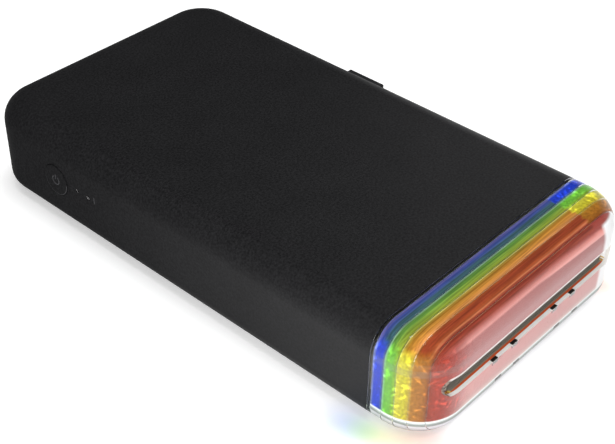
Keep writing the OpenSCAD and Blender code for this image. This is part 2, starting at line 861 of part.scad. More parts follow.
module battery() {
  mid = [(battery_x[0] + battery_x[1]) / 2, (battery_y[0] + battery_y[1]) / 2];
  color("#3f6f9c")
  translate([mid[0], mid[1], deck_top_z]) linear_extrude(battery_h)
    rounded_plate(battery_x[1] - battery_x[0], battery_y[1] - battery_y[0], 2);
}

module battery_lead() {
  color("#a51f1f")
  for (x = lead_x)
    translate([x, 0, board_top_z + 3 * lead_r]) along_y(battery_y[1], board_front_y + 3) circle(lead_r);
}

module main_board() {
  color("#1f5c3a")
  difference() {
    block([-board_half, board_front_y, board_z], [board_half, board_rear_y, board_top_z]);
    both_sides() for (y = [board_hole[1], board_hole[2]])
      translate([board_hole[0], y, board_z - past]) cylinder(r = screw_r, h = 4);
  }
}

module board_chips() {
  color("#18181a")
  for (c = [[-12, 10, 9, 9, 1.2], [2, 7, 7, 7, 1], [12, 14, 5, 6, 1.1], [-20, 17, 4, 5, 1.5],
      [20, 4.5, 6, 3, 3], [reset_x, 24.5, 3, 3.5, 3.2]])
    translate([c[0], board_front_y + c[1], board_top_z])
      block([-c[2] / 2, -c[3] / 2, 0], [c[2] / 2, c[3] / 2, c[4]]);
}

module usb_socket() {
  color("#c9ccd0")
  difference() {
    translate([0, 0, usb_z]) along_y(usb_front_y - usb_l, usb_front_y) slot_shape(usb_w, usb_h);
    difference() {
      translate([0, 0, usb_z]) along_y(usb_front_y - usb_l + 0.8, usb_front_y + past)
        slot_shape(usb_w - 0.6, usb_h - 0.6);
      block([-3.35, usb_front_y - usb_l, usb_z - 0.35], [3.35, usb_front_y - 1.2, usb_z + 0.35]);
    }
  }
}

module switch_board() {
  color("#1f5c3a")
  block([switch_board_x, switch_board_y[0], switch_board_z[0]],
    [switch_board_x + switch_board_t, switch_board_y[1], switch_board_z[1]]);
}

// The push switch behind the button, and a lamp behind each lens
module tact_switch() {
  color("#26272a") {
    block([switch_board_x - 1.5, button_at[0] - 2.25, button_at[1] - 2.25],
      [switch_board_x, button_at[0] + 2.25, button_at[1] + 2.25]);
    rod(button_back_x + button_flange_t + button_stem_l + button_travel + 0.03, switch_board_x - 1.4,
      button_at, 1);
    for (lamp = lamps)
      block([switch_board_x - 1.2, lamp[0] - 0.8, lamp[1] - 0.8], [switch_board_x, lamp[0] + 0.8, lamp[1] + 0.8]);
  }
}

module door_hinge_pins() {
  color("#c4c7ca")
  for (y = [door_front_y, door_rear_y])
    along_y(y - hinge_pin_l / 2, y + hinge_pin_l / 2) translate([hinge_x, hinge_z]) circle(hinge_pin_r);
}

module drive_belt() {
  gap = run_fit;
  color("#202022")
  along_x(belt_x, belt_x + belt_w) difference() {
    band_shape(platen_at, platen_pulley_r + gap + belt_t, grip_at, grip_pulley_r + gap + belt_t);
    band_shape(platen_at, platen_pulley_r + gap, grip_at, grip_pulley_r + gap);
  }
}

module power_button() {
  color("#29292b") {
    rod(-half_w - button_proud, button_back_x + 0.1, button_at, button_r);
    rod(button_back_x, button_back_x + button_flange_t, button_at, button_r + 0.85);
    rod(button_back_x + 0.1, button_back_x + button_flange_t + button_stem_l, button_at, button_stem_r);
  }
}

module cartridge_door() {
  color("#262627")
  difference() {
    union() {
      intersection() {
        difference() {
          straight_body(door_front_y, door_rear_y, 0);
          straight_body(door_front_y - past, door_rear_y + past, wall);
        }
        block([half_w - 6, door_front_y - past, hinge_z], [half_w + past, door_rear_y + past, door_top_z]);
      }
      along_y(door_front_y, door_rear_y) translate([hinge_x, hinge_z]) circle(barrel_r);
      block([half_w - wall + 0.6, tab_y - tab_l / 2, tab_top_z - tab_t],
        [half_w + tab_out, tab_y + tab_l / 2, tab_top_z]);
    }
    along_y(door_front_y - past, door_front_y + hinge_pin_l / 2 + 0.3)
      translate([hinge_x, hinge_z]) circle(hinge_pin_r + run_fit);
    along_y(door_rear_y - hinge_pin_l / 2 - 0.3, door_rear_y + past)
      translate([hinge_x, hinge_z]) circle(hinge_pin_r + run_fit);
  }
}

module spool_tube(at) {
  difference() {
    rod(cart_x0, cart_x1 - end_plate_t + 0.1, at, tube_r);
    rod(cart_x0 + cap_plate_t, cart_x1 - end_plate_t, at, tube_r - tube_wall);
  }
}

module cartridge_frame() {
  tray_in = cart_x0 + tray_wall_t;
  color("#33353a")
  difference() {
    union() {
      block([cart_x0, tray_front_y, cart_low_z], [cart_x1 - past, tray_rear_y, cart_low_z + tray_floor_t]);
      block([cart_x0, tray_front_y, cart_low_z], [tray_in, tray_rear_y, tray_top_z]);
      block([tray_side_x, tray_front_y, cart_low_z], [tray_side_x + tray_wall_t, tray_rear_y, tray_top_z]);
      block([cart_x0, tray_rear_y - tray_wall_t, cart_low_z], [cart_x1 - past, tray_rear_y, tray_top_z]);
      block([cart_x0, supply_at[0] - tube_r, tray_top_z - 2],
        [cart_x0 + cap_plate_t, supply_at[0] + tube_r, supply_at[1]]);
      spool_tube(supply_at);
      spool_tube(take_up_at);
      along_x(cart_x1 - end_plate_t, cart_x1) polygon([
        [cart_front_y, bridge_low_z], [bridge_end_y, bridge_low_z], [bridge_end_y, cart_low_z],
        [tray_rear_y, cart_low_z], [tray_rear_y, cart_top_z], [cart_front_y, cart_top_z]
      ]);
    }
    for (at = [supply_at, take_up_at]) {
      rod(cart_x0 - past, cart_x0 + 2, at, spool_hub_r + run_fit);
      rod(cart_x1 - 3, cart_x1 - 0.4, at, spool_pin_r + run_fit);
    }
    block([-film_half - 1, supply_at[0] - 6, path_z - 0.5], [film_half + 1, supply_at[0] - 1.5, film_z + 1.8]);
    block([-film_half - 1, take_up_at[0] + 0.8, path_z - 0.5], [film_half + 1, take_up_at[0] + 6, film_z + 1.8]);
    along_x(cart_x1 - 0.9, cart_x1 + past) rectangle(finger_dent);
  }
}

module lift_plate() {
  color("#b9bcc0")
  block([-print_w / 2 + 0.3, paper_front_y + 1, cart_low_z + tray_floor_t],
    [print_w / 2 - 0.3, paper_front_y + print_l - 1, path_z - sheets * sheet_t]);
}

module paper_stack() {
  color("#f4f2ec")
  block([-print_w / 2, paper_front_y, path_z - sheets * sheet_t],
    [print_w / 2, paper_front_y + print_l, path_z]);
}

module ink_ribbon() {
  start = [supply_at[0] - 0.4, supply_at[1] - supply_roll_r - 0.25];
  finish = [take_up_at[0] + 0.4, take_up_at[1] - take_up_roll_r - 0.25];
  turn_in = supply_at[0] - 6.4;
  turn_out = take_up_at[0] + 5.1;
  color("#d9a514")
  along_x(-film_half, film_half) polygon([
    start, [turn_in, film_z], [turn_out, film_z], finish,
    finish + [0, film_t], [turn_out, film_z + film_t], [turn_in, film_z + film_t], start + [0, film_t]
  ]);
}

module spool(at) {
  difference() {
    union() {
      rod(cart_x0 + 0.2, -spool_half - spool_flange_t, at, spool_hub_r);
      rod(-spool_half - spool_flange_t - 0.1, spool_half + spool_flange_t, at, spool_core_r);
      for (x = [-spool_half - spool_flange_t, spool_half])
        rod(x, x + spool_flange_t, at, spool_flange_r);
      rod(spool_half, cart_x1 - 0.6, at, spool_pin_r);
    }
    along_x(cart_x0 - past, drive_tip_x + 0.4) intersection() {
      translate(at) circle(drive_r + drive_fit);
      translate([at[0] - 3, at[1] - 3]) square([6, 3 + drive_flat + drive_fit]);
    }
  }
}

module ribbon_roll(at, r) {
  difference() {
    rod(-film_half, film_half, at, r);
    rod(-film_half - past, film_half + past, at, spool_core_r);
  }
}

module take_up_spool() {
  color("#e8e8e6") spool(take_up_at);
}

module take_up_roll() {
  color("#8c3a4c") ribbon_roll(take_up_at, take_up_roll_r);
}

module supply_spool() {
  color("#e8e8e6") spool(supply_at);
}

module supply_roll() {
  color("#d9a514") ribbon_roll(supply_at, supply_roll_r);
}

module platen_shaft() {
  color("#c4c7ca")
  rod(belt_x - 0.2, right_plate_x + plate_t + 0.3, platen_at, shaft_r);
}

module platen_sleeve() {
  color("#1c1c1d")
  difference() {
    rod(-roller_half, roller_half, platen_at, platen_r);
    rod(-roller_half - past, roller_half + past, platen_at, shaft_r);
  }
}

// A gear with the belt pulley moulded on its outer face
module gear_and_pulley(at, teeth, phase, r) {
  difference() {
    union() {
      gear(at, teeth, phase);
      rod(gear_x - pulley_w, gear_x + 0.1, at, r);
    }
    rod(gear_x - 3, gear_x + gear_t + past, at, shaft_r);
  }
}

module platen_gear() {
  color("#e2ddd0") gear_and_pulley(platen_at, teeth_platen, 0, platen_pulley_r);
}

module grip_roller() {
  color("#c4c7ca") {
    rod(-roller_half, roller_half, grip_at, grip_r);
    rod(belt_x - 0.2, right_plate_x + plate_t + 0.3, grip_at, shaft_r);
  }
}

module grip_gear() {
  color("#e2ddd0") gear_and_pulley(grip_at, teeth_grip, 0, grip_pulley_r);
}

module pinch_roller() {
  color("#3a3a3c") {
    rod(-roller_half, roller_half, pinch_at, pinch_r);
    rod(left_plate_x - 0.2, right_plate_x + plate_t + 0.2, pinch_at, pinch_shaft_r);
  }
}

module pickup_shaft() {
  color("#c4c7ca")
  rod(gear_x, pickup_leg_x + bracket_leg_t + 0.4, pickup_at, shaft_r);
}

module pickup_roller() {
  color("#2a2a2c")
  difference() {
    rod(-pickup_half, pickup_half, pickup_at, pickup_r);
    rod(-pickup_half - past, pickup_half + past, pickup_at, shaft_r);
  }
}

module pickup_gear() {
  color("#e2ddd0")
  difference() {
    gear(pickup_at, teeth_pickup, pickup_phase);
    rod(gear_x - past, gear_x + gear_t + past, pickup_at, shaft_r);
    for (a = [0 : 60 : 300])
      rod(gear_x - past, gear_x + gear_t + past, pickup_at + 5 * [cos(a), sin(a)], 1.5);
  }
}

module idler_gear(at, phase) {
  difference() {
    gear(at, teeth_idler, phase);
    rod(gear_x - past, gear_x + gear_t + past, at, stud_r + run_fit);
  }
}

module rear_idler_gear() {
  color("#e2ddd0") idler_gear(rear_idler_at, rear_idler_phase);
}

module front_idler_gear() {
  color("#e2ddd0") idler_gear(front_idler_at, front_idler_phase);
}

module motor_pinion() {
  color("#c9a75a") {
    gear(motor_at, teeth_motor, motor_phase);
    rod(gear_x, left_plate_x + plate_t - 0.02, motor_at, motor_shaft_r);
  }
}

module take_up_spindle() {
  color("#e2ddd0") {
    gear(take_up_at, teeth_take_up, take_up_phase);
    rod(gear_x, cart_x0 - 0.4, take_up_at, shaft_r);
    along_x(cart_x0 - 0.5, drive_tip_x) intersection() {
      translate(take_up_at) circle(drive_r);
      translate([take_up_at[0] - 3, take_up_at[1] - 3]) square([6, 3 + drive_flat]);
    }
  }
}

module head_bracket() {
  color("#a9acb0")
  difference() {
    union() {
      block([-print_w / 2, roof_front_y, roof_low_z], [print_w / 2 + 3, roof_rear_y, roof_low_z + roof_t]);
      for (x = arm_x) {
        rod(x, x + arm_w, head_pivot_at, knuckle_r);
        block([x, roof_rear_y - past, roof_low_z], [x + arm_w, head_pivot_at[0], roof_low_z + 1.5]);
        block([x, head_pivot_at[0], tail_low_z], [x + arm_w, tail_end_y, tail_low_z + tail_t]);
      }
    }
    for (x = arm_x)
      rod(x - past, x + arm_w + past, head_pivot_at, head_pivot_r + run_fit);
  }
}

module head_heat_sink() {
  half = print_w / 2 - 1;
  color("#b5b8bb")
  difference() {
    block([-half, sink_y[0], sink_z], [half, sink_y[1], roof_low_z]);
    for (y = [sink_y[0] + 1.8 : 2.4 : sink_y[1] - 0.8])
      block([-half - past, y, sink_z + 3], [half + past, y + 1.2, roof_low_z - 1.2]);
  }
}

module thermal_head() {
  color("#e6e4dc")
  block([-print_w / 2 - 1, head_strip[0], head_strip_z], [print_w / 2 + 1, head_strip[1], sink_z]);
}

module cam_shaft() {
  color("#d8d4c8") {
    rod(head_motor_x1 + 0.02, bracket_end_x + 0.4, cam_at, cam_shaft_r);
    for (x = arm_x)
      rod(x, x + arm_w, cam_at + [cam_offset, 0], cam_r);
  }
}

housing();
bottom_cover();
bottom_screws();
rubber_feet();
front_cap();
blue_layer();
green_layer();
yellow_layer();
orange_layer();
red_layer();
exit_chute();
indicator_lenses();
left_side_plate();
right_side_plate();
small_screws();
tie_bars();
overhead_bracket();
head_pivot_shaft();
shaft_bushings();
idler_studs();
feed_motor();
head_motor();
pinch_springs();
deck();
battery();
battery_lead();
main_board();
board_chips();
usb_socket();
switch_board();
tact_switch();
door_hinge_pins();
drive_belt();
power_button();
cartridge_door();
cartridge_frame();
lift_plate();
paper_stack();
ink_ribbon();
take_up_spool();
take_up_roll();
supply_spool();
supply_roll();
platen_shaft();
platen_sleeve();
platen_gear();
grip_roller();
grip_gear();
pinch_roller();
pickup_shaft();
pickup_roller();
pickup_gear();
rear_idler_gear();
front_idler_gear();
motor_pinion();
take_up_spindle();
head_bracket();
head_heat_sink();
thermal_head();
cam_shaft();
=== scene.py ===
import bpy
import bmesh
import math
from mathutils import Matrix, Vector


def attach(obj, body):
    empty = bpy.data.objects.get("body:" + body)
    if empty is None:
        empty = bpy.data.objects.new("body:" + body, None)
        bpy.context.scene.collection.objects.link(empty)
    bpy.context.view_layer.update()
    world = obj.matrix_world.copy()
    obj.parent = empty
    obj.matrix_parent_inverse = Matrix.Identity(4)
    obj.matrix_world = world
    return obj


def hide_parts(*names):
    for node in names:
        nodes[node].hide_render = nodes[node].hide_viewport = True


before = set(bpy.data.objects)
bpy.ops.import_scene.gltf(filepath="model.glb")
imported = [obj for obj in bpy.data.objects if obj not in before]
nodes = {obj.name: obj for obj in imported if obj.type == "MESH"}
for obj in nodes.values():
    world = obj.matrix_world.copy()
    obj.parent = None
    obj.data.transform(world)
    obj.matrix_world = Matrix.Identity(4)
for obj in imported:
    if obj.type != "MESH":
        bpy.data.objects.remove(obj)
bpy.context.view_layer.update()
mm = 0.001  # settings are in millimetres, unless they say metres, and the scene is in metres
print("frame loaded:", len(nodes), "nodes")


# Helpers for materials

def linear(hexColour):
    parts = [int(hexColour[i:i + 2], 16) / 255 for i in (1, 3, 5)]
    return [c / 12.92 if c <= 0.04045 else ((c + 0.055) / 1.055) ** 2.4 for c in parts] + [1.0]


def addNode(tree, kind, settings):
    # settings are the node's own options, then its sockets: a number, a hex colour or another node's output
    node = tree.nodes.new("ShaderNode" + kind)
    for key, value in settings.items():
        if key == "stops":  # a ramp's colours, each with its place from 0 to 1
            elements = node.color_ramp.elements
            while len(elements) < len(value):
                elements.new(1.0)
            for element, (at, colour) in zip(elements, value):
                element.position, element.color = at, linear(colour)
        elif isinstance(key, str) and key not in node.inputs:
            setattr(node, key, value)
        elif isinstance(value, bpy.types.NodeSocket):
            tree.links.new(value, node.inputs[key])
        else:
            node.inputs[key].default_value = linear(value) if isinstance(value, str) else value
    return node.outputs


def newMaterial(name, settings):
    material = bpy.data.materials.new(name)
    material.use_nodes = True
    tree = material.node_tree
    shader = tree.nodes["Principled BSDF"].inputs
    for key, value in settings.items():
        shader[key].default_value = linear(value) if isinstance(value, str) else value
    place = addNode(tree, "TexCoord", {})["Object"]
    return material, tree, shader, place


def grains(size):  # a texture's scale for grains of that size in millimetres
    return 1 / (size * mm)


# Camera, as the photograph was taken: angles in degrees, distances in metres, lens and sensor in millimetres

shot = {"azimuth": -48.300, "elevation": 37.845, "roll": 0.974, "distance": 0.31177, "nearest": 0.01,
        "lens": 73.50, "sensor": 36, "target": Vector((-8.825, -12.835, 13.5)) * mm}


def makeCamera():
    around, up, roll = (math.radians(shot[k]) for k in ("azimuth", "elevation", "roll"))
    back = Vector((math.sin(around) * math.cos(up), -math.cos(around) * math.cos(up), math.sin(up)))
    right = Vector((0, 0, 1)).cross(back).normalized()
    top = back.cross(right)
    across = math.cos(roll) * right + math.sin(roll) * top
    upright = math.cos(roll) * top - math.sin(roll) * right
    place = Matrix((across, upright, back)).transposed().to_4x4()
    place.translation = shot["target"] + back * shot["distance"]
    bpy.ops.object.camera_add()
    camera = bpy.context.object
    camera.matrix_world = place
    camera.data.lens = shot["lens"]
    camera.data.sensor_width = shot["sensor"]
    camera.data.clip_start = shot["nearest"]
    bpy.context.scene.camera = camera


# Lights: a soft white studio

lamps = {  # places and sizes in metres, power in watts; "only" is for a lamp that gives just light or sheen
    "overheadSoftbox": {"place": (0.10, -0.04, 0.75), "size": (0.45, 0.45), "power": 3.5, "only": "light"},
    "farSoftbox": {"place": (0.45, 0.22, 0.165), "size": (0.12, 0.12), "power": 0.45, "only": "sheen"},
    "nearSoftbox": {"place": (-0.24, -0.17, 0.10), "size": (0.12, 0.12), "power": 0.52, "only": "light"},
    "rearStrip": {"place": (-0.083, 0.253, 0.536), "size": (0.16, 0.05), "power": 0.15},
}
room = {"lightLevel": 0.37, "mirrorTop": 0.12, "mirrorFade": (0.15, 0.55), "paper": "#f6f6f6", "glow": 0.33,
        "sweep": 6}
colouredLight = {  # light that comes through the layers: place on the table and radius in millimetres
    "blue": (-44.0, -55.5, 9, "#d6def4"),
    "green": (-42.6, -60.5, 7, "#d9efd0"),
    "yellow": (-41.0, -65.0, 7, "#f4f0d6"),
    "orange": (-38.0, -69.5, 7, "#f5e4d6"),
    "red": (-34.0, -73.0, 7, "#f6e3de"),
    "farRed": (35.5, -72.5, 7, "#f8e2da"),
}


def makeLamps():
    for name, lamp in lamps.items():
        bpy.ops.object.light_add(type="AREA", location=lamp["place"])
        light = bpy.context.object
        light.name = name
        light.data.shape = "RECTANGLE"
        light.data.size, light.data.size_y = lamp["size"]
        light.data.energy = lamp["power"]
        light.rotation_euler = (Vector(lamp["place"]) - shot["target"]).to_track_quat("Z", "Y").to_euler()
        light.visible_diffuse = lamp.get("only") != "sheen"
        light.visible_glossy = lamp.get("only") != "light"


def makeRoom():
    # white for the camera and through glass, dimmer overhead for mirror rays, a plain level for light
    world = bpy.context.scene.world or bpy.data.worlds.new("room")
    bpy.context.scene.world = world
    world.use_nodes = True
    tree = world.node_tree
    tree.nodes.clear()
    ray = addNode(tree, "LightPath", {})
    clear = addNode(tree, "Math", {"operation": "MAXIMUM", 0: ray["Is Camera Ray"],
                                   1: ray["Is Transmission Ray"]})[0]
    direction = addNode(tree, "TexCoord", {})["Generated"]
    height = addNode(tree, "SeparateXYZ", {0: direction})["Z"]
    low, high = room["mirrorFade"]
    backdrop = addNode(tree, "MapRange", {"Value": height, "From Min": low, "From Max": high, "To Min": 1.0,
                                          "To Max": room["mirrorTop"]})[0]
    mirrored = addNode(tree, "Mix", {0: ray["Is Glossy Ray"], 2: room["lightLevel"], 3: backdrop})[0]
    strength = addNode(tree, "Mix", {0: clear, 2: mirrored, 3: 1.0})[0]
    light = addNode(tree, "Background", {"Color": (1, 1, 1, 1), "Strength": strength})
    addNode(tree, "OutputWorld", {0: light[0]})


def makeFloor():
    # a matt paper sweep, white to the camera, tinted where light comes through the layers
    bpy.ops.object.select_all(action="DESELECT")
    bpy.ops.mesh.primitive_plane_add(size=room["sweep"])
    floor = bpy.context.object
    floor.name = "whiteSweep"
    material, tree, shader, place = newMaterial("paper sweep", {"Roughness": 1.0, "Specular IOR Level": 0.0})
    colour, light = addNode(tree, "RGB", {})[0], addNode(tree, "RGB", {})[0]
    colour.default_value, light.default_value = linear(room["paper"]), (1, 1, 1, 1)
    for x, y, radius, tone in colouredLight.values():
        spot = (x * mm, y * mm, 0)
        away = addNode(tree, "VectorMath", {"operation": "DISTANCE", 0: place, 1: spot})["Value"]
        share = addNode(tree, "MapRange", {"interpolation_type": "SMOOTHSTEP", "Value": away, "From Min": 0,
                                           "From Max": radius * mm, "To Min": 1, "To Max": 0})[0]
        colour = addNode(tree, "Mix", {"data_type": "RGBA", "blend_type": "MULTIPLY", 0: share, 6: colour,
                                       7: tone})[2]
        light = addNode(tree, "Mix", {"data_type": "RGBA", "blend_type": "MULTIPLY", 0: share, 6: light,
                                      7: tone})[2]
    tree.links.new(colour, shader["Base Color"])
    ray = addNode(tree, "LightPath", {})
    seen = addNode(tree, "Math", {"operation": "MAXIMUM", 0: ray["Is Camera Ray"],
                                  1: ray["Is Glossy Ray"]})[0]
    seen = addNode(tree, "Math", {"operation": "MAXIMUM", 0: seen, 1: ray["Is Transmission Ray"]})[0]
    strength = addNode(tree, "Math", {"operation": "MULTIPLY", 0: seen, 1: room["glow"]})[0]
    glow = addNode(tree, "Emission", {"Color": light, "Strength": strength})[0]
    both = addNode(tree, "AddShader", {0: tree.nodes["Principled BSDF"].outputs[0], 1: glow})[0]
    tree.links.new(both, tree.nodes["Material Output"].inputs["Surface"])
    floor.data.materials.append(material)


# Materials

nearSide = {"button": (46.5, 13.4), "lamps": ((38.1, 14.0), (33.9, 13.9))}  # y and z on the near long side

marks = {  # printed in grey on the near side, with a painted highlight on the button's rim, where x is less than "outside"
    "colour": "#4c4c4e", "line": 0.13, "outside": -39.5,
    "ring": 1.25, "stroke": (0.3, 1.7), "gap": 0.75,  # the sign's ring, its upright and the ring's opening
    "bar": (31.5, 14.2, 0.13, 1.0),  # y, z, half its width and half its height
    "rim": (4.2, 0.07),  # a painted highlight: the line of light on the button's lower rim
}

shellLook = {
    "base": ("#1a1a1b", "#202021"), "cloudSize": 14, "grainSize": 0.55, "speck": (0.66, 1.54), "bump": 0.35,
    "depth": 0.05, "roughness": (0.44, 0.58),
    # its sheen grows along y with this power, and fades at this height, where the top face begins
    "sheenY": (75, -58.8), "sheenPower": 3.0, "sheenZ": (26.0, 26.9), "sheenLevel": (0.15, 0.03),
    "sheenLeast": 0.004,
}


def texturedAbs(name, withMarksAndRimHighlight):
    # ABS from a spark-eroded mould: near black and matt, with a fine grain drawn at twice its real size
    look = shellLook
    material, tree, shader, place = newMaterial(name, {"Roughness": 0.5, "IOR": 1.53})
    axes = addNode(tree, "SeparateXYZ", {0: place})
    start, end = (z * mm for z in look["sheenZ"])
    level = addNode(tree, "MapRange", {"Value": axes["Z"], "From Min": start, "From Max": end,
                                       "To Min": look["sheenLevel"][0], "To Max": look["sheenLevel"][1]})[0]
    start, end = (y * mm for y in look["sheenY"])
    polish = addNode(tree, "MapRange", {"Value": axes["Y"], "From Min": start, "From Max": end})[0]
    polish = addNode(tree, "Math", {"operation": "POWER", 0: polish, 1: look["sheenPower"]})[0]
    polish = addNode(tree, "Math", {"operation": "MULTIPLY_ADD", 0: polish, 1: level,
                                    2: look["sheenLeast"]})[0]
    tree.links.new(polish, shader["Specular IOR Level"])
    cloud = addNode(tree, "TexNoise", {"Vector": place, "Scale": grains(look["cloudSize"]),
                                       "Detail": 2.0})["Fac"]
    grain = addNode(tree, "TexNoise", {"Vector": place, "Scale": grains(look["grainSize"]), "Detail": 3.0,
                                       "Roughness": 0.7})["Fac"]
    base = addNode(tree, "Mix", {"data_type": "RGBA", 0: cloud, 6: look["base"][0], 7: look["base"][1]})[2]
    speck = addNode(tree, "MapRange", {"Value": grain, "From Min": 0.36, "From Max": 0.64,
                                       "To Min": look["speck"][0], "To Max": look["speck"][1]})[0]
    colour = addNode(tree, "VectorMath", {"operation": "SCALE", 0: base, "Scale": speck})[0]
    if withMarksAndRimHighlight:
        colour = printedMarksAndRimHighlight(tree, place, colour)
    tree.links.new(colour, shader["Base Color"])
    bump = addNode(tree, "Bump", {"Height": grain, "Strength": look["bump"],
                                  "Distance": look["depth"] * mm})[0]
    tree.links.new(bump, shader["Normal"])
    rough = addNode(tree, "MapRange", {"Value": grain, "From Min": 0.3, "From Max": 0.7,
                                       "To Min": look["roughness"][0], "To Max": look["roughness"][1]})[0]
    tree.links.new(rough, shader["Roughness"])
    return material


def printedMarksAndRimHighlight(tree, place, colour):
    # the plain on and off sign on the button, a short bar beside the lamps and a painted highlight on the
    # button's lower rim, only on the side's outer face
    y, z = (c * mm for c in nearSide["button"])
    barY, barZ, barHalf, barHeight = (c * mm for c in marks["bar"])
    line, ring, gap = (marks[k] * mm for k in ("line", "ring", "gap"))
    low, high = (c * mm for c in marks["stroke"])
    axes = addNode(tree, "SeparateXYZ", {0: place})
    outer = addNode(tree, "Math", {"operation": "LESS_THAN", 0: axes["X"], 1: marks["outside"] * mm})[0]
    flat = addNode(tree, "CombineXYZ", {"Y": axes["Y"], "Z": axes["Z"]})[0]
    away = addNode(tree, "VectorMath", {"operation": "DISTANCE", 0: flat, 1: (0, y, z)})["Value"]
    aside = addNode(tree, "Math", {"operation": "COMPARE", 0: axes["Y"], 1: y, 2: gap})[0]
    above = addNode(tree, "Math", {"operation": "GREATER_THAN", 0: axes["Z"], 1: z})[0]
    opening = addNode(tree, "Math", {"operation": "MULTIPLY", 0: aside, 1: above})[0]
    circle = addNode(tree, "Math", {"operation": "COMPARE", 0: away, 1: ring, 2: line})[0]
    circle = addNode(tree, "Math", {"operation": "SUBTRACT", "use_clamp": True, 0: circle, 1: opening})[0]
    stroke = addNode(tree, "Math", {"operation": "COMPARE", 0: axes["Y"], 1: y, 2: line})[0]
    tall = addNode(tree, "Math", {"operation": "COMPARE", 0: axes["Z"], 1: z + (low + high) / 2,
                                  2: (high - low) / 2})[0]
    stroke = addNode(tree, "Math", {"operation": "MULTIPLY", 0: stroke, 1: tall})[0]
    bar = addNode(tree, "Math", {"operation": "COMPARE", 0: axes["Y"], 1: barY, 2: barHalf})[0]
    tall = addNode(tree, "Math", {"operation": "COMPARE", 0: axes["Z"], 1: barZ, 2: barHeight})[0]
    bar = addNode(tree, "Math", {"operation": "MULTIPLY", 0: bar, 1: tall})[0]
    printOrHighlight = addNode(tree, "Math", {"operation": "MAXIMUM", 0: circle, 1: stroke})[0]
    printOrHighlight = addNode(tree, "Math", {"operation": "MAXIMUM", 0: printOrHighlight, 1: bar})[0]
    rim, wide = (c * mm for c in marks["rim"])  # a painted highlight on the button's rim, bright below where it catches the light
    edge = addNode(tree, "Math", {"operation": "COMPARE", 0: away, 1: rim, 2: wide})[0]
    edge = addNode(tree, "Math", {"operation": "SUBTRACT", "use_clamp": True, 0: edge, 1: above})[0]
    printOrHighlight = addNode(tree, "Math", {"operation": "MAXIMUM", 0: printOrHighlight, 1: edge})[0]
    printOrHighlight = addNode(tree, "Math", {"operation": "MULTIPLY", 0: printOrHighlight, 1: outer})[0]
    return addNode(tree, "Mix", {"data_type": "RGBA", 0: printOrHighlight, 6: colour, 7: marks["colour"]})[2]


chuteFront = -73.5  # y of the chute's front, where the red sheet begins


def satinAbs(name, colour, frontColour=None):
    # ABS from a polished mould: satin, with a faint uneven flow, and perhaps another colour at the front
    material, tree, shader, place = newMaterial(name, {"Base Color": colour, "Roughness": 0.4, "IOR": 1.53})
    flow = addNode(tree, "Mapping", {"Vector": place, "Scale": (1, 0.3, 1)})[0]
    flow = addNode(tree, "TexNoise", {"Vector": flow, "Scale": grains(4), "Detail": 3.0})["Fac"]
    sheen = addNode(tree, "MapRange", {"Value": flow, "From Min": 0.3, "From Max": 0.7, "To Min": 0.34,
                                       "To Max": 0.48})[0]
    tree.links.new(sheen, shader["Roughness"])
    fine = addNode(tree, "TexNoise", {"Vector": place, "Scale": grains(0.6), "Detail": 2.0})["Fac"]
    bump = addNode(tree, "Bump", {"Height": fine, "Strength": 0.5, "Distance": 0.01 * mm})[0]
    tree.links.new(bump, shader["Normal"])
    if frontColour:
        y = addNode(tree, "SeparateXYZ", {0: place})["Y"]
        front = addNode(tree, "Math", {"operation": "LESS_THAN", 0: y, 1: chuteFront * mm})[0]
        both = addNode(tree, "Mix", {"data_type": "RGBA", 0: front, 6: colour, 7: frontColour})[2]
        tree.links.new(both, shader["Base Color"])
    return material


clearLook = {"body": "#fbfdfe", "foot": "#6a6c72", "footZ": (2.1, 2.6)}


def clearAcrylic():
    # injection-moulded PMMA, polished: clear, very faintly wavy, and painted dark at its foot, where the foot
    # bends the light
    look = clearLook
    material, tree, shader, place = newMaterial("clear acrylic, polished", {
        "Base Color": look["body"], "Roughness": 0.0, "IOR": 1.49, "Transmission Weight": 1.0})
    wave = addNode(tree, "TexNoise", {"Vector": place, "Scale": grains(6), "Detail": 2.0})["Fac"]
    bump = addNode(tree, "Bump", {"Height": wave, "Strength": 0.3, "Distance": 0.02 * mm})[0]
    tree.links.new(bump, shader["Normal"])
    height = addNode(tree, "SeparateXYZ", {0: place})["Z"]
    start, end = (z * mm for z in look["footZ"])
    height = addNode(tree, "MapRange", {"Value": height, "From Min": start, "From Max": end})[0]
    body = addNode(tree, "Mix", {"data_type": "RGBA", 0: height, 6: look["foot"], 7: look["body"]})[2]
    tree.links.new(body, shader["Base Color"])
    return material


edgeLook = {  # both cut edges in the slot, the red one with a painted glow and, behind the chute's front, painted pale grey as the lit chute edge; past the given x, towards the slot's ends, both are mottled in other colours
    "frost": ("#ddd8ce", "#ffffff"), "frostEndMottle": ("#1c1816", "#8a7c6c"), "frostEnd": (-31.2, -31.8),
    "sawnGlow": ("#b03a14", "#e86a30"), "sawnEndMottle": ("#a8641c", "#f8dc6a"), "sawnEnd": (29.8, 30.6),
    "chuteEdgeAsLit": "#8c877c",
}


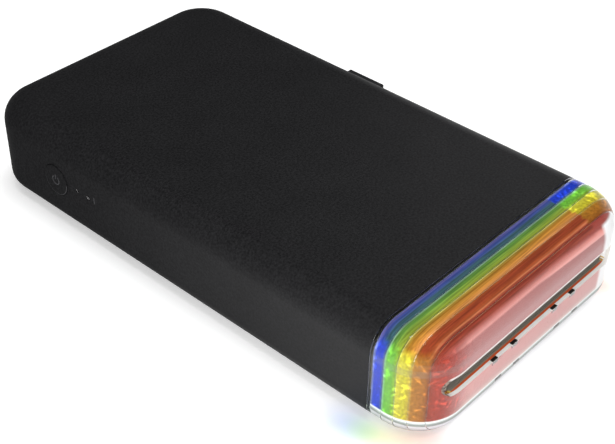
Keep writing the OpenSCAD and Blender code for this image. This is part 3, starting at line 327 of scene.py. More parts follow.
def frostedAcrylic():
    # the cut edge of the same acrylic round the slot: milled, so it is pale and frosted
    look = edgeLook
    material, tree, shader, place = newMaterial("acrylic, milled edge", {"Roughness": 0.6, "IOR": 1.49})
    streak = addNode(tree, "Mapping", {"Vector": place, "Scale": (0.2, 1, 1)})[0]
    streak = addNode(tree, "TexNoise", {"Vector": streak, "Scale": grains(0.4), "Detail": 3.0})["Fac"]
    colour = addNode(tree, "Mix", {"data_type": "RGBA", 0: streak, 6: look["frost"][0],
                                   7: look["frost"][1]})[2]
    # mottled darker towards the slot's near end
    endMottle = addNode(tree, "TexNoise", {"Vector": place, "Scale": grains(0.7), "Detail": 3.0})["Fac"]
    endMottle = addNode(tree, "MapRange", {"Value": endMottle, "From Min": 0.42, "From Max": 0.58})[0]
    endMottle = addNode(tree, "Mix", {"data_type": "RGBA", 0: endMottle, 6: look["frostEndMottle"][0],
                                   7: look["frostEndMottle"][1]})[2]
    end = addNode(tree, "SeparateXYZ", {0: place})["X"]
    end = addNode(tree, "MapRange", {"Value": end, "From Min": look["frostEnd"][0] * mm,
                                     "From Max": look["frostEnd"][1] * mm})[0]
    colour = addNode(tree, "Mix", {"data_type": "RGBA", 0: end, 6: colour, 7: endMottle})[2]
    tree.links.new(colour, shader["Base Color"])
    return material


def redCutEdge():
    # the red sheet's own sawn edge in the slot: a painted red-orange glow, and behind the chute's front
    # painted pale grey, as the chute's edge there looks when lit
    look = edgeLook
    material, tree, shader, place = newMaterial("tinted acrylic, red, sawn edge", {
        "Roughness": 0.45, "IOR": 1.49})
    axes = addNode(tree, "SeparateXYZ", {0: place})
    saw = addNode(tree, "TexNoise", {"Vector": place, "Scale": grains(0.5), "Detail": 3.0})["Fac"]
    colour = addNode(tree, "Mix", {"data_type": "RGBA", 0: saw, 6: look["sawnGlow"][0], 7: look["sawnGlow"][1]})[2]
    # painted pale grey behind the chute's front, as the chute's edge looks there when lit
    behind = addNode(tree, "Math", {"operation": "GREATER_THAN", 0: axes["Y"], 1: chuteFront * mm})[0]
    colour = addNode(tree, "Mix", {"data_type": "RGBA", 0: behind, 6: colour, 7: look["chuteEdgeAsLit"]})[2]
    # mottled yellow-orange towards the slot's ends
    endMottle = addNode(tree, "MapRange", {"Value": saw, "From Min": 0.42, "From Max": 0.58})[0]
    endMottle = addNode(tree, "Mix", {"data_type": "RGBA", 0: endMottle, 6: look["sawnEndMottle"][0],
                                   7: look["sawnEndMottle"][1]})[2]
    end = addNode(tree, "Math", {"operation": "ABSOLUTE", 0: axes["X"]})[0]
    end = addNode(tree, "MapRange", {"Value": end, "From Min": look["sawnEnd"][0] * mm,
                                     "From Max": look["sawnEnd"][1] * mm})[0]
    colour = addNode(tree, "Mix", {"data_type": "RGBA", 0: end, 6: colour, 7: endMottle})[2]
    tree.links.new(colour, shader["Base Color"])
    return material


# Colours of each layer from its rear edge, 0, to its front edge, 1: painted shade over the dark chute, bright
# at the ends, with pale painted highlights along their edges
layerLooks = {
    "blue_layer": {
        "deep": ((0.00, "#55568d"), (0.18, "#55568d"), (0.30, "#334082"), (0.50, "#3a4e7e"),
                 (0.63, "#34525b"), (0.93, "#34525b")),
        "bright": ((0.00, "#93a2f2"), (0.13, "#8496f0"), (0.23, "#2c54ff"), (0.77, "#2a4ef8"),
                   (0.93, "#4a72bc")),
    },
    "green_layer": {
        "deep": ((0.00, "#597977"), (0.10, "#799e78"), (0.20, "#527b33"), (0.40, "#527b33"),
                 (0.50, "#74963a"), (0.90, "#7e8a2d")),
        "bright": ((0.00, "#9fdcc0"), (0.10, "#a8f0a4"), (0.23, "#8cf04c"), (0.67, "#90e850"),
                   (0.93, "#b0d83c")),
    },
    "yellow_layer": {
        "deep": ((0.00, "#cdc46f"), (0.12, "#9d8134"), (0.30, "#90621c"), (0.43, "#ab762d"),
                 (0.60, "#bb7e32"), (0.90, "#c9864a")),
        "bright": ((0.00, "#f2ff78"), (0.13, "#fcf44c"), (0.67, "#faee3c"), (0.93, "#f0d040")),
    },
    "orange_layer": {
        "deep": ((0.00, "#9c5424"), (0.13, "#8a3c21"), (0.40, "#863820"), (0.67, "#944726"),
                 (0.78, "#b66a47"), (0.90, "#8a3c2b")),
        "bright": ((0.00, "#ecc24a"), (0.13, "#d8922f"), (0.80, "#cc7f2c"), (0.93, "#b4602a")),
    },
    "red_layer": {
        "deep": ((0.00, "#c87850"), (0.07, "#7e3024"), (0.30, "#8a3c2b"), (0.50, "#8e3a30")),
        "bright": ((0.00, "#b0502e"), (0.20, "#cc4c34"), (0.53, "#cc4630"), (0.87, "#cf4c3a")),
    },
}
# The red layer's front by height, as the clear wall in front shows it: pale with the painted reflection of
# the white floor, a painted highlight along its upper rounding, coral towards the near corner and a painted
# white reflection past the far one, where its red upper part also reaches lower
frontLook = {
    "z": (4, 25),
    "stops": ((0.05, "#ead8d0"), (0.12, "#cf9c98"), (0.19, "#d2928e"), (0.36, "#d2908c"), (0.64, "#b47472"),
              (0.885, "#ae6e6b"), (0.905, "#f2aca4"), (0.96, "#ea998f"), (0.98, "#db847b"), (1.0, "#9a4238")),
    "nearX": (-31.5, -21.5), "farX": (27.0, 28.4), "farZ": (23.9, 23.3), "farReflectionColour": "#ffffff",
    "sagX": (1, 27), "sagZ": (20, 23), "sag": 1.56,
}
# Painted light and shade on the layers' lower edge by height, where the clear foot shows the floor, and the
# four guide prongs painted again, as the clear edge bends their image
footLook = {
    "z": (2, 6),
    "stops": ((0.0, "#6c6c70"), (0.12, "#c4c4ca"), (0.42, "#dcdbe2"), (0.50, "#8c928e"), (0.60, "#939995"),
              (0.70, "#c4ccca"), (0.78, "#f6f8f6"), (0.88, "#f6f8f6")),
    "prongX": (-13.0, -6.0, 10.5, 18.2), "prongHalf": 1.2, "prongZ": (4.6, 0.4), "prongColour": "#2e2a28",
}
# What all layers share: where their painted shade begins and where the foot begins, the painted lines along
# the sheet, and the painted shade of the creases, the painted glints, the grit and the painted dim band of
# the bright ends
tint = {
    "shadedX": (25.4, 26.4), "shadedZ": (22.6, 24.2), "footZ": (5.2, 5.6), "wander": 3, "wanderSize": 1.5,
    "lineSize": 0.3, "lineShade": (0.75, 1.3), "creaseSize": 2.0, "creaseShade": 0.5,
    "glint": 0.5, "glintColour": "#f6f4ec", "gritSize": 0.5, "gritShade": (0.78, 1.12),
    "dimBandZ": (19.4, 0.9), "dimBand": 0.4, "dimBandColour": "#6f7a78",
}


def tintedAcrylic(node, y1):
    # tinted acrylic sheet, cast, cut and stacked: painted shade over the dark chute, bright and creased at
    # the ends, with painted shade in the creases and painted glints
    look, isRed = layerLooks[node], node == "red_layer"
    material, tree, shader, place = newMaterial("tinted acrylic, " + node.split("_")[0], {
        "Roughness": 0.3, "IOR": 1.49, "Specular IOR Level": 0.0})
    axes = addNode(tree, "SeparateXYZ", {0: place})
    wander = addNode(tree, "TexNoise", {"Vector": place, "Scale": grains(tint["wanderSize"]),
                                        "Detail": 3.0})["Fac"]
    across = addNode(tree, "Math", {"operation": "MULTIPLY_ADD", 0: wander, 1: tint["wander"] * mm,
                                    2: axes["X"]})[0]
    depth = addNode(tree, "MapRange", {"Value": axes["Y"], "From Min": y1 * mm,
                                       "From Max": (y1 - layers["pitch"]) * mm})[0]
    deep = addNode(tree, "ValToRGB", {"Fac": depth, "stops": look["deep"]})[0]
    bright = addNode(tree, "ValToRGB", {"Fac": depth, "stops": look["bright"]})[0]
    # fine painted light and dark lines along the sheet, on its shaded part
    lines = addNode(tree, "Mapping", {"Vector": place, "Scale": (0.03, 1, 0.3)})[0]
    lines = addNode(tree, "TexNoise", {"Vector": lines, "Scale": grains(tint["lineSize"]),
                                       "Detail": 2.0})["Fac"]
    lines = addNode(tree, "MapRange", {"Value": lines, "From Min": 0.35, "From Max": 0.65,
                                       "To Min": tint["lineShade"][0], "To Max": tint["lineShade"][1]})[0]
    deep = addNode(tree, "VectorMath", {"operation": "SCALE", 0: deep, "Scale": lines})[0]
    # creases at the ends, with painted shade in them, painted glints on them, and grit
    crease = addNode(tree, "TexNoise", {"noise_type": "RIDGED_MULTIFRACTAL", "normalize": True,
                                        "Vector": place, "Scale": grains(tint["creaseSize"]), "Detail": 3.0,
                                        "Roughness": 0.6, "Distortion": 0.6})["Fac"]
    dark = addNode(tree, "MapRange", {"Value": crease, "From Min": 0.06, "From Max": 0.3,
                                      "To Min": tint["creaseShade"], "To Max": 1.0})[0]
    grit = addNode(tree, "TexNoise", {"Vector": place, "Scale": grains(tint["gritSize"]),
                                      "Detail": 3.0})["Fac"]
    mottle = addNode(tree, "MapRange", {"Value": grit, "From Min": 0.38, "From Max": 0.62,
                                        "To Min": tint["gritShade"][0], "To Max": tint["gritShade"][1]})[0]
    dark = addNode(tree, "Math", {"operation": "MULTIPLY", 0: dark, 1: mottle})[0]
    bright = addNode(tree, "VectorMath", {"operation": "SCALE", 0: bright, "Scale": dark})[0]
    glint = addNode(tree, "MapRange", {"Value": crease, "From Min": 0.66, "From Max": 0.9,
                                       "To Max": tint["glint"]})[0]
    bright = addNode(tree, "Mix", {"data_type": "RGBA", 0: glint, 6: bright, 7: tint["glintColour"]})[2]
    # painted shade: a dull band where the flat side turns into the round edge
    middle, reach = (z * mm for z in tint["dimBandZ"])
    dimBand = addNode(tree, "Math", {"operation": "COMPARE", 0: axes["Z"], 1: middle, 2: reach})[0]
    dimBand = addNode(tree, "Math", {"operation": "MULTIPLY", 0: dimBand, 1: wander})[0]
    dimBand = addNode(tree, "Math", {"operation": "MULTIPLY", 0: dimBand, 1: tint["dimBand"]})[0]
    bright = addNode(tree, "Mix", {"data_type": "RGBA", 0: dimBand, 6: bright, 7: tint["dimBandColour"]})[2]
    if isRed:
        bright = frontWithPaintedReflection(tree, axes, across, bright)
    # painted shade where the dark chute lies beneath
    start, end = (x * mm for x in tint["shadedX"])
    over = addNode(tree, "MapRange", {"Value": across, "From Min": start, "From Max": end, "To Min": 1,
                                      "To Max": 0})[0]
    start, end = (z * mm for z in tint["shadedZ"])
    above = addNode(tree, "MapRange", {"Value": axes["Z"], "From Min": start, "From Max": end})[0]
    over = addNode(tree, "Math", {"operation": "MULTIPLY", 0: over, 1: above})[0]
    body = addNode(tree, "Mix", {"data_type": "RGBA", 0: over, 6: bright, 7: deep})[2]
    # the lower edge takes the painted light and shade of the foot band
    start, end = (z * mm for z in tint["footZ"])
    low = addNode(tree, "MapRange", {"Value": axes["Z"], "From Min": start, "From Max": end, "To Min": 1,
                                     "To Max": 0})[0]
    body = addNode(tree, "Mix", {"data_type": "RGBA", 0: low, 6: body, 7: footBand(tree, axes, isRed)})[2]
    tree.links.new(body, shader["Base Color"])
    bump = addNode(tree, "Bump", {"Height": grit, "Strength": 0.4, "Distance": 0.06 * mm})[0]
    bump = addNode(tree, "Bump", {"Height": crease, "Strength": 0.6, "Distance": 0.3 * mm, "Normal": bump})[0]
    tree.links.new(bump, shader["Normal"])
    return material


def frontWithPaintedReflection(tree, axes, across, bright):
    # painted reflection and painted highlight on the red layer's front, fading in towards the near corner
    start, end = (x * mm for x in frontLook["sagX"])
    sag = addNode(tree, "MapRange", {"Value": axes["X"], "From Min": start, "From Max": end,
                                     "To Max": frontLook["sag"] * mm})[0]
    start, end = (z * mm for z in frontLook["sagZ"])
    top = addNode(tree, "MapRange", {"Value": axes["Z"], "From Min": start, "From Max": end})[0]
    height = addNode(tree, "Math", {"operation": "MULTIPLY_ADD", 0: sag, 1: top, 2: axes["Z"]})[0]
    start, end = (z * mm for z in frontLook["z"])
    height = addNode(tree, "MapRange", {"Value": height, "From Min": start, "From Max": end})[0]
    pale = addNode(tree, "ValToRGB", {"Fac": height, "stops": frontLook["stops"]})[0]
    start, end = (x * mm for x in frontLook["farX"])
    far = addNode(tree, "MapRange", {"Value": axes["X"], "From Min": start, "From Max": end})[0]
    start, end = (z * mm for z in frontLook["farZ"])
    below = addNode(tree, "MapRange", {"Value": axes["Z"], "From Min": start, "From Max": end})[0]
    far = addNode(tree, "Math", {"operation": "MULTIPLY", 0: far, 1: below})[0]
    pale = addNode(tree, "Mix", {"data_type": "RGBA", 0: far, 6: pale, 7: frontLook["farReflectionColour"]})[2]
    start, end = (x * mm for x in frontLook["nearX"])
    share = addNode(tree, "MapRange", {"interpolation_type": "SMOOTHSTEP", "Value": across, "From Min": start,
                                       "From Max": end})[0]
    return addNode(tree, "Mix", {"data_type": "RGBA", 0: share, 6: bright, 7: pale})[2]


def footBand(tree, axes, withProngs):
    # painted light and shade of the lower edge, and on the red layer the painted image of the prongs
    start, end = (z * mm for z in footLook["z"])
    foot = addNode(tree, "MapRange", {"Value": axes["Z"], "From Min": start, "From Max": end})[0]
    foot = addNode(tree, "ValToRGB", {"Fac": foot, "stops": footLook["stops"]})[0]
    if not withProngs:
        return foot
    middle, reach = (z * mm for z in footLook["prongZ"])
    dash = addNode(tree, "Math", {"operation": "COMPARE", 0: axes["Z"], 1: middle, 2: reach})[0]
    marked = 0.0
    for x in footLook["prongX"]:
        near = addNode(tree, "Math", {"operation": "COMPARE", 0: axes["X"], 1: x * mm,
                                      2: footLook["prongHalf"] * mm})[0]
        marked = addNode(tree, "Math", {"operation": "ADD", 0: near, 1: marked})[0]
    dash = addNode(tree, "Math", {"operation": "MULTIPLY", 0: dash, 1: marked})[0]
    return addNode(tree, "Mix", {"data_type": "RGBA", 0: dash, 6: foot, 7: footLook["prongColour"]})[2]


def moulded(name, colour, roughness):
    # a moulded plain plastic, with a faint grain and a slight change of shade
    material, tree, shader, place = newMaterial(name, {"Roughness": roughness, "IOR": 1.5})
    shade = addNode(tree, "TexNoise", {"Vector": place, "Scale": grains(6), "Detail": 3.0})["Fac"]
    share = addNode(tree, "MapRange", {"Value": shade, "From Min": 0.3, "From Max": 0.7, "To Max": 0.2})[0]
    body = addNode(tree, "Mix", {"data_type": "RGBA", 0: share, 6: colour, 7: "#808080"})[2]
    tree.links.new(body, shader["Base Color"])
    fine = addNode(tree, "TexNoise", {"Vector": place, "Scale": grains(0.8), "Detail": 3.0})["Fac"]
    bump = addNode(tree, "Bump", {"Height": fine, "Strength": 0.5, "Distance": 0.02 * mm})[0]
    tree.links.new(bump, shader["Normal"])
    return material


def rubber(name, colour):
    # moulded silicone rubber: very matt, with a ground surface
    material, tree, shader, place = newMaterial(name, {"Base Color": colour, "Roughness": 0.85, "IOR": 1.41,
                                                       "Specular IOR Level": 0.3})
    ground = addNode(tree, "TexNoise", {"Vector": place, "Scale": grains(0.35), "Detail": 4.0})["Fac"]
    bump = addNode(tree, "Bump", {"Height": ground, "Strength": 0.6, "Distance": 0.03 * mm})[0]
    tree.links.new(bump, shader["Normal"])
    return material


def metal(name, colour, roughness, stretch, grain):
    # metal with the marks of its making drawn out across the stretch
    material, tree, shader, place = newMaterial(name, {"Base Color": colour, "Metallic": 1.0})
    marks = addNode(tree, "Mapping", {"Vector": place, "Scale": stretch})[0]
    marks = addNode(tree, "TexNoise", {"Vector": marks, "Scale": grains(grain), "Detail": 4.0})["Fac"]
    polish = addNode(tree, "MapRange", {"Value": marks, "From Min": 0.3, "From Max": 0.7,
                                        "To Min": roughness * 0.75, "To Max": roughness * 1.3})[0]
    tree.links.new(polish, shader["Roughness"])
    bump = addNode(tree, "Bump", {"Height": marks, "Strength": 0.4, "Distance": 0.01 * mm})[0]
    tree.links.new(bump, shader["Normal"])
    return material


def solderMask():
    # epoxy glass board under green solder mask, with darker copper lines beneath
    material, tree, shader, place = newMaterial("solder mask on board", {"Roughness": 0.3, "IOR": 1.5})
    tracks = addNode(tree, "TexBrick", {"Vector": place, "Scale": grains(2.4), "Color1": "#0f5a32",
                                        "Color2": "#136a3c", "Mortar": "#0a3c22",
                                        "Mortar Size": 0.03})["Color"]
    tree.links.new(tracks, shader["Base Color"])
    return material


def coatedPaper():
    # coated photo sheets, seen as a stack of fine lines 0.25 mm apart
    material, tree, shader, place = newMaterial("coated photo paper", {"Roughness": 0.6, "IOR": 1.5})
    sheets = addNode(tree, "TexWave", {"bands_direction": "Z", "Vector": place,
                                       "Scale": grains(0.25) / math.pi, "Distortion": 0.3})["Fac"]
    shade = addNode(tree, "Mix", {"data_type": "RGBA", 0: sheets, 6: "#d8d5cc", 7: "#f2f0e9"})[2]
    tree.links.new(shade, shader["Base Color"])
    return material


innerMaterials = {
    "zinc": (metal("zinc-plated steel sheet", "#b9bcc0", 0.35, (1, 1, 1), 1.2),
             "left_side_plate right_side_plate overhead_bracket lift_plate head_bracket"),
    "steel": (metal("turned steel", "#c4c7ca", 0.22, (8, 1, 1), 0.6),
              "bottom_screws small_screws tie_bars head_pivot_shaft idler_studs feed_motor head_motor "
              "pinch_springs usb_socket door_hinge_pins platen_shaft grip_roller pickup_shaft"),
    "aluminium": (metal("extruded aluminium", "#cfd1d4", 0.4, (0.1, 1, 1), 0.4), "head_heat_sink"),
    "brass": (metal("sintered brass", "#b8924c", 0.4, (1, 1, 1), 0.3), "shaft_bushings motor_pinion"),
    "acetal": (moulded("natural acetal", "#ece6d8", 0.35),
               "platen_gear grip_gear pickup_gear rear_idler_gear front_idler_gear take_up_spindle "
               "cam_shaft"),
    "polystyrene": (moulded("white polystyrene", "#efefec", 0.25), "take_up_spool supply_spool"),
    "satin": (satinAbs("black ABS, satin", "#1a1a1b"), "bottom_cover deck cartridge_frame"),
    # the chute's own black shows only at its front; its pale grey is painted light in the slot
    "chute": (satinAbs("chute ABS, painted pale grey as if lit", "#9c988e", "#0e0e0e"), "exit_chute"),
    "rubber": (rubber("black silicone rubber", "#161616"),
               "rubber_feet platen_sleeve pinch_roller pickup_roller drive_belt"),
    "newFilm": (moulded("yellow dye film", "#dca313", 0.2), "ink_ribbon supply_roll"),
    "usedFilm": (moulded("used dye film", "#7d2038", 0.2), "take_up_roll"),
    "paper": (coatedPaper(), "paper_stack"),
    "board": (solderMask(), "main_board switch_board"),
    "epoxy": (moulded("black epoxy chip", "#17171a", 0.5), "board_chips tact_switch"),
    "wrap": (moulded("blue shrink wrap", "#2f6396", 0.3), "battery"),
    "wire": (moulded("red wire insulation", "#a11616", 0.35), "battery_lead"),
    "alumina": (moulded("glazed alumina", "#e4e1d6", 0.3), "thermal_head"),
}
for material, members in innerMaterials.values():
    for member in members.split():
        nodes[member].data.materials.clear()
        nodes[member].data.materials.append(material)
print("inner materials set")


# Helpers for modelling

close = 0.01  # how near counts as touching when edges are picked
past = 1  # how far a cutting block reaches past what it cuts


def blockPiece(name, low, high):
    bpy.ops.object.select_all(action="DESELECT")
    middle = [(a + b) / 2 * mm for a, b in zip(low, high)]
    bpy.ops.mesh.primitive_cube_add(size=1, location=middle)
    piece = bpy.context.object
    piece.name = piece.data.name = name
    piece.scale = [(b - a) * mm for a, b in zip(low, high)]
    bpy.ops.object.transform_apply(location=True, rotation=True, scale=True)
    return piece


def rodPiece(name, start, end, radius, axis, sides):
    bpy.ops.object.select_all(action="DESELECT")
    turn = {"X": (0, math.pi / 2, 0), "Y": (math.pi / 2, 0, 0), "Z": (0, 0, 0)}[axis]
    middle = [(a + b) / 2 * mm for a, b in zip(start, end)]
    depth = max(abs(b - a) for a, b in zip(start, end)) * mm
    bpy.ops.mesh.primitive_cylinder_add(vertices=sides, radius=radius * mm, depth=depth, location=middle,
                                        rotation=turn)
    piece = bpy.context.object
    piece.name = piece.data.name = name
    bpy.ops.object.transform_apply(location=True, rotation=True, scale=True)
    return piece


def activate(piece):
    bpy.ops.object.select_all(action="DESELECT")
    piece.select_set(True)
    bpy.context.view_layer.objects.active = piece


def pick(piece, kind, wanted):
    # opens the piece in edit mode with only the wanted vertices, edges or faces selected
    activate(piece)
    bpy.ops.object.mode_set(mode="EDIT")
    bpy.ops.mesh.select_mode(type=kind)
    bpy.ops.mesh.select_all(action="DESELECT")
    mesh = bmesh.from_edit_mesh(piece.data)
    for item in {"VERT": mesh.verts, "EDGE": mesh.edges, "FACE": mesh.faces}[kind]:
        if wanted(item):
            item.select_set(True)
    mesh.select_flush_mode()
    bmesh.update_edit_mesh(piece.data)


def along(axis):  # picks the edges that run along an axis: 0, 1 or 2
    return lambda edge: abs(edge.verts[0].co[axis] - edge.verts[1].co[axis]) > mm


def inPlane(axis, *places):  # picks the edges that lie in a plane across an axis
    return lambda edge: any(all(abs(v.co[axis] - place * mm) < close * mm for v in edge.verts)
                            for place in places)


def leaveEdit():
    bpy.ops.object.mode_set(mode="OBJECT")


def bevelPicked(radius, segments):
    bpy.ops.mesh.bevel(offset=radius * mm, offset_type="OFFSET", segments=segments, affect="EDGES",
                       clamp_overlap=False)
    leaveEdit()


def shift(piece, y):
    pick(piece, "VERT", lambda v: True)
    bpy.ops.transform.translate(value=(0, y * mm, 0))
    leaveEdit()


def cutOff(piece, place, normal, fill=False):
    # removes what lies on the side of the plane that the normal points to
    pick(piece, "FACE", lambda f: True)
    bpy.ops.mesh.bisect(plane_co=[c * mm for c in place], plane_no=normal, use_fill=fill, clear_outer=True,
                        clear_inner=False, threshold=1e-7)
    leaveEdit()


def applied(piece, kind, **settings):
    activate(piece)
    modifier = piece.modifiers.new(kind.lower(), kind)
    for key, value in settings.items():
        setattr(modifier, key, value)
    bpy.ops.object.modifier_apply(modifier=modifier.name)


def cutWith(piece, *tools, operation="DIFFERENCE"):
    for tool in tools:
        applied(piece, "BOOLEAN", object=tool, operation=operation, solver="EXACT")
        bpy.data.objects.remove(tool)


def paintFaces(piece, material, wanted):
    piece.data.materials.append(material)
    for face in piece.data.polygons:
        if wanted(face.center / mm, face.normal):
            face.material_index = len(piece.data.materials) - 1


shading = {"smoothAngle": 35, "faceWeight": 60}


def finishPiece(piece, body, slot, material, *replaced):
    activate(piece)
    bpy.ops.object.shade_smooth_by_angle(angle=math.radians(shading["smoothAngle"]))
    applied(piece, "WEIGHTED_NORMAL", keep_sharp=True, weight=shading["faceWeight"])
    piece.data.materials.clear()
    piece.data.materials.append(material)
    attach(piece, body)
    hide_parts(*replaced)
    print("made", piece.name, len(piece.data.polygons), "faces")
    return piece


# The slab that the housing, the door, the clear end and its layers are all cut from. Each rounding has its
# radius and its number of facets

slab = {"width": 80, "length": 150, "low": 0.8, "high": 27, "corner": (12, 20), "topEdge": (7, 14),
        "bottomEdge": (4, 10), "seam": -58.8}


def roundedSlab(name, inset=0.0):
    half, end = slab["width"] / 2 - inset, slab["length"] / 2 - inset
    low, high = slab["low"] + inset, slab["high"] - inset
    piece = blockPiece(name, (-half, -end, low), (half, end, high))
    picks = {"corner": along(2), "topEdge": inPlane(2, high), "bottomEdge": inPlane(2, low)}
    for rounding, edges in picks.items():
        radius, facets = slab[rounding]
        pick(piece, "EDGE", edges)
        bevelPicked(radius - inset, facets)
    return piece


def slabRing(name, outer, inner, y0, y1):
    ring = roundedSlab(name, outer)
    cutOff(ring, (0, y1, 0), (0, 1, 0), fill=True)
    cutOff(ring, (0, y0, 0), (0, -1, 0), fill=True)
    cutWith(ring, roundedSlab("ringCore", inner))
    return ring


# Black housing

housing = {"wall": 1.8, "rim": 0.25, "inside": 37.2, "beyond": 3, "door": (-53.0, 62.2), "doorZ": (3.3, 21.8),
           "tab": (4.8, 17.2), "tabZ": (20, 23.4), "tabX": 38.6, "buttonHole": 4.5, "lampHoles": (0.48, 0.63),
           "socket": (15.83, 9.44, 3.76), "rear": (72, 77), "reset": (9, 0.5),
           "cover": {"half": 35.2, "y": (-49.2, 69.2), "corner": 7.2, "z": (0.3, 3.2)}}


def makeHousing(material):
    s, c = housing, housing["cover"]
    shell = roundedSlab("housingShell")
    cutOff(shell, (0, slab["seam"], 0), (0, -1, 0))
    applied(shell, "SOLIDIFY", thickness=s["wall"] * mm, offset=-1, use_even_offset=True)
    inside, out = s["inside"], slab["width"] / 2 + s["beyond"]
    doorway = blockPiece("doorway", (inside, s["door"][0], s["doorZ"][0]), (out, s["door"][1], s["doorZ"][1]))
    tabway = blockPiece("tabway", (s["tabX"], s["tab"][0], s["tabZ"][0]), (out, s["tab"][1], s["tabZ"][1]))
    place = nearSide["button"]
    holes = [rodPiece("buttonHole", (-out, *place), (-inside, *place), s["buttonHole"], "X", sides=64)]
    for place, radius in zip(nearSide["lamps"], s["lampHoles"]):
        holes.append(rodPiece("lampHole", (-out, *place), (-inside, *place), radius, "X", sides=24))
    z, w, h = s["socket"]
    y0, y1 = s["rear"]
    socket = blockPiece("socketHole", (-w / 2, y0, z - h / 2), (w / 2, y1, z + h / 2))
    pick(socket, "EDGE", along(1))
    bevelPicked(h / 2 - close, 8)
    x, radius = s["reset"]
    reset = rodPiece("resetHole", (x, y0, z), (x, y1, z), radius, "Y", sides=24)
    coverHole = blockPiece("coverHole", (-c["half"], c["y"][0], c["z"][0]), (c["half"], c["y"][1], c["z"][1]))
    pick(coverHole, "EDGE", along(2))
    bevelPicked(c["corner"], 12)
    cutWith(shell, doorway, tabway, *holes, socket, reset, coverHole)
    pick(shell, "EDGE", inPlane(1, slab["seam"]))
    bevelPicked(s["rim"], 3)
    return finishPiece(shell, "printer_body", "black_shell", material, "housing")


# Clear end cap

cap = {"wall": 1.3, "push": 0.3, "slot": (33, 12, 17), "slotY": (-77, -69), "slotEdge": 0.5, "frostY": -73,
       "flange": (1.1, -59.15), "core": 3.3, "spigot": (1.9, -59.0, -55.3), "notch": (36.5, 6, 7.0),
       "prongs": {"x": (-15.5, -8, 8, 15.5), "half": 1.08, "y": (-74.93, -70.9), "z": (10.92, 11.68),
                  "mouth": (-74.02, 12.1)}}


def slotTool(y0, y1):
    half, low, high = cap["slot"]
    tool = blockPiece("slotTool", (-half, y0, low), (half, y1, high))
    pick(tool, "EDGE", along(1))
    bevelPicked((high - low) / 2 - close, 12)
    return tool


def prongTools():
    p = cap["prongs"]
    (front, back), (low, high), (mouthY, mouthZ) = p["y"], p["z"], p["mouth"]
    for x in p["x"]:
        left, right = x - p["half"], x + p["half"]
        yield blockPiece("prongRun", (left, front, low), (right, back, high))
        yield blockPiece("prongMouth", (left, front, low), (right, mouthY, mouthZ))


def inSlot(place, margin):
    half, low, high = cap["slot"]
    return abs(place.x) < half + margin and low - margin < place.z < high + margin


def makeCap(clear, frosted):
    half, low, high = cap["slot"]
    shell = roundedSlab("clearCap")
    cutOff(shell, (0, slab["seam"], 0), (0, 1, 0), fill=True)
    core = roundedSlab("capCore", cap["wall"])
    shift(core, -cap["push"])
    cutWith(shell, core)
    ring = slabRing("flange", cap["flange"][0], cap["core"], cap["flange"][1], slab["seam"])
    spigot = slabRing("spigot", cap["spigot"][0], cap["core"], *cap["spigot"][1:])
    reach, deep, top = cap["notch"]
    cutWith(spigot, blockPiece("notch", (-reach, slab["seam"] + close, 0), (reach, slab["seam"] + deep, top)))
    cutWith(shell, ring, spigot, operation="UNION")
    cutWith(shell, slotTool(*cap["slotY"]))
    front, reach = (close - slab["length"] / 2) * mm, (half + close) * mm
    bottom, middle = (low - close) * mm, (low + high) / 2 * mm
    pick(shell, "EDGE", lambda e: all(v.co.y < front and abs(v.co.x) < reach and bottom < v.co.z < middle
                                      for v in e.verts))
    bevelPicked(cap["slotEdge"], 1)
    cutWith(shell, *prongTools())
    finishPiece(shell, "printer_body", "clear_plastic", clear, "front_cap")
    paintFaces(shell, frosted, lambda c, n: inSlot(c, cap["slotEdge"]) and c.y < cap["frostY"]
               and abs(n.y) < 0.9)
    shell.visible_diffuse = shell.visible_shadow = False  # so the lamps light the layers through it
    return shell


# Coloured layers behind the cap

layers = {"inset": 1.28, "push": 0.3, "first": -59.25, "pitch": 3.0, "gap": 0.1, "edge": 0.15,
          "order": ("blue_layer", "green_layer", "yellow_layer", "orange_layer", "red_layer"),
          "window": (33, 8.6, 18.0), "redLow": 2, "skin": 2.2, "slotY": (-77, -70), "sawnY": -73.05,
          "sharp": "orange_layer"}  # this one is cut so near the slab's rounding that a bevel would fold over


def makeLayer(place, node):
    y1 = layers["first"] - place * layers["pitch"]
    y0 = y1 - layers["pitch"] + layers["gap"]
    last = node == "red_layer"
    piece = roundedSlab(node.replace("_layer", "Layer"), layers["inset"])
    shift(piece, -layers["push"])
    cutOff(piece, (0, y1, 0), (0, 1, 0), fill=True)
    if not last:
        cutOff(piece, (0, y0, 0), (0, -1, 0), fill=True)
    if node != layers["sharp"]:
        pick(piece, "EDGE", inPlane(1, y1) if last else inPlane(1, y0, y1))
        bevelPicked(layers["edge"], 3)
    half, low, high = layers["window"]
    if last:
        front = -slab["length"] / 2 - past
        window = blockPiece("window", (-half, front, low + layers["redLow"]), (half, y1 + past, high))
        inner = roundedSlab("windowFront", layers["skin"])
        shift(inner, -layers["push"])
        cutWith(window, inner, operation="INTERSECT")
        cutWith(piece, window, slotTool(*layers["slotY"]), *prongTools())
    else:
        cutWith(piece, blockPiece("window", (-half, y0 - past, low), (half, y1 + past, high)))
    slot = "layer_" + node.split("_")[0]
    finishPiece(piece, "printer_body", slot, tintedAcrylic(node, y1), node)
    if last:
        paintFaces(piece, redCutEdge(), lambda c, n: inSlot(c, 0.1) and c.y < layers["sawnY"]
                   and abs(n.y) < 0.3)
    return piece


# Power button

button = {"radius": 4.35, "proud": 0.25, "back": -37.4, "edge": 0.25}


def makeButton(material):
    place, face = nearSide["button"], -(slab["width"] / 2 + button["proud"])
    piece = rodPiece("powerButton", (face, *place), (button["back"], *place), button["radius"], "X", sides=72)
    pick(piece, "EDGE", inPlane(0, face))
    bevelPicked(button["edge"], 4)
    return finishPiece(piece, "button", "black_shell", material, "power_button")


# Indicator lenses

lenses = {"radii": (0.45, 0.6), "x": (-40, -36), "dome": 0.35}


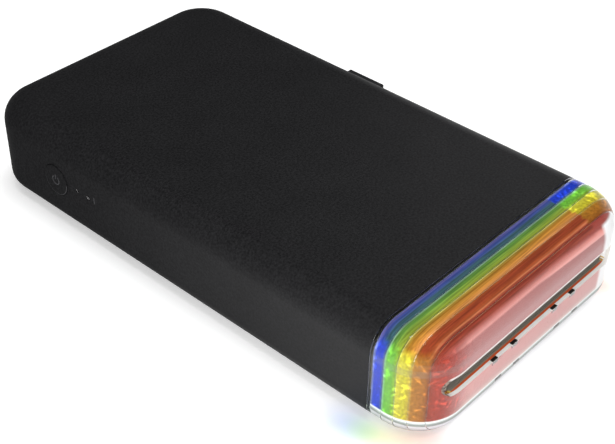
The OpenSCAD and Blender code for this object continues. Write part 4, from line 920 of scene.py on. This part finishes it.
def makeLenses(material):
    parts = []
    face, back = lenses["x"]
    for place, radius in zip(nearSide["lamps"], lenses["radii"]):
        lens = rodPiece("lens", (face, *place), (back, *place), radius, "X", sides=24)
        pick(lens, "EDGE", inPlane(0, face))
        bevelPicked(radius * lenses["dome"], 4)
        parts.append(lens)
    activate(parts[0])
    parts[1].select_set(True)
    bpy.ops.object.join()
    parts[0].name = "indicatorLenses"
    return finishPiece(parts[0], "printer_body", "clear_plastic", material, "indicator_lenses")


# Cartridge door with its finger tab

door = {"x": 36, "y": (-52.8, 62.0), "z": (4.3, 21.6), "wall": 1.8, "hinge": (39.05, 4.3, 0.9),
        "tab": {"y": (5, 17), "z": (21.0, 23.2), "x": (38.8, 41.8), "edge": 0.25}}


def makeDoor(material):
    skin = roundedSlab("cartridgeDoor")
    cutOff(skin, (door["x"], 0, 0), (-1, 0, 0))
    cutOff(skin, (0, door["y"][0], 0), (0, -1, 0))
    cutOff(skin, (0, door["y"][1], 0), (0, 1, 0))
    cutOff(skin, (0, 0, door["z"][0]), (0, 0, -1))
    cutOff(skin, (0, 0, door["z"][1]), (0, 0, 1))
    applied(skin, "SOLIDIFY", thickness=door["wall"] * mm, offset=-1, use_even_offset=True)
    x, z, radius = door["hinge"]
    barrel = rodPiece("barrel", (x, door["y"][0], z), (x, door["y"][1], z), radius, "Y", sides=32)
    t = door["tab"]
    tab = blockPiece("tab", (t["x"][0], t["y"][0], t["z"][0]), (t["x"][1], t["y"][1], t["z"][1]))
    pick(tab, "EDGE", lambda e: max(v.co.x for v in e.verts) > (t["x"][1] - close) * mm)
    bevelPicked(t["edge"], 4)
    activate(skin)
    barrel.select_set(True)
    tab.select_set(True)
    bpy.ops.object.join()
    return finishPiece(skin, "door", "black_shell", material, "cartridge_door")


makeCamera()
makeLamps()
makeRoom()
makeFloor()
print("studio made")
shellMaterial = texturedAbs("black ABS, spark-eroded grain", False)
printAndHighlightMaterial = texturedAbs("black ABS, spark-eroded grain and grey print", True)
clearMaterial = clearAcrylic()
makeHousing(printAndHighlightMaterial)
makeCap(clearMaterial, frostedAcrylic())
for place, node in enumerate(layers["order"]):
    makeLayer(place, node)
makeButton(printAndHighlightMaterial)
makeLenses(clearMaterial)
makeDoor(shellMaterial)
print("outer pieces made")

bpy.context.scene.view_settings.view_transform = "Standard"
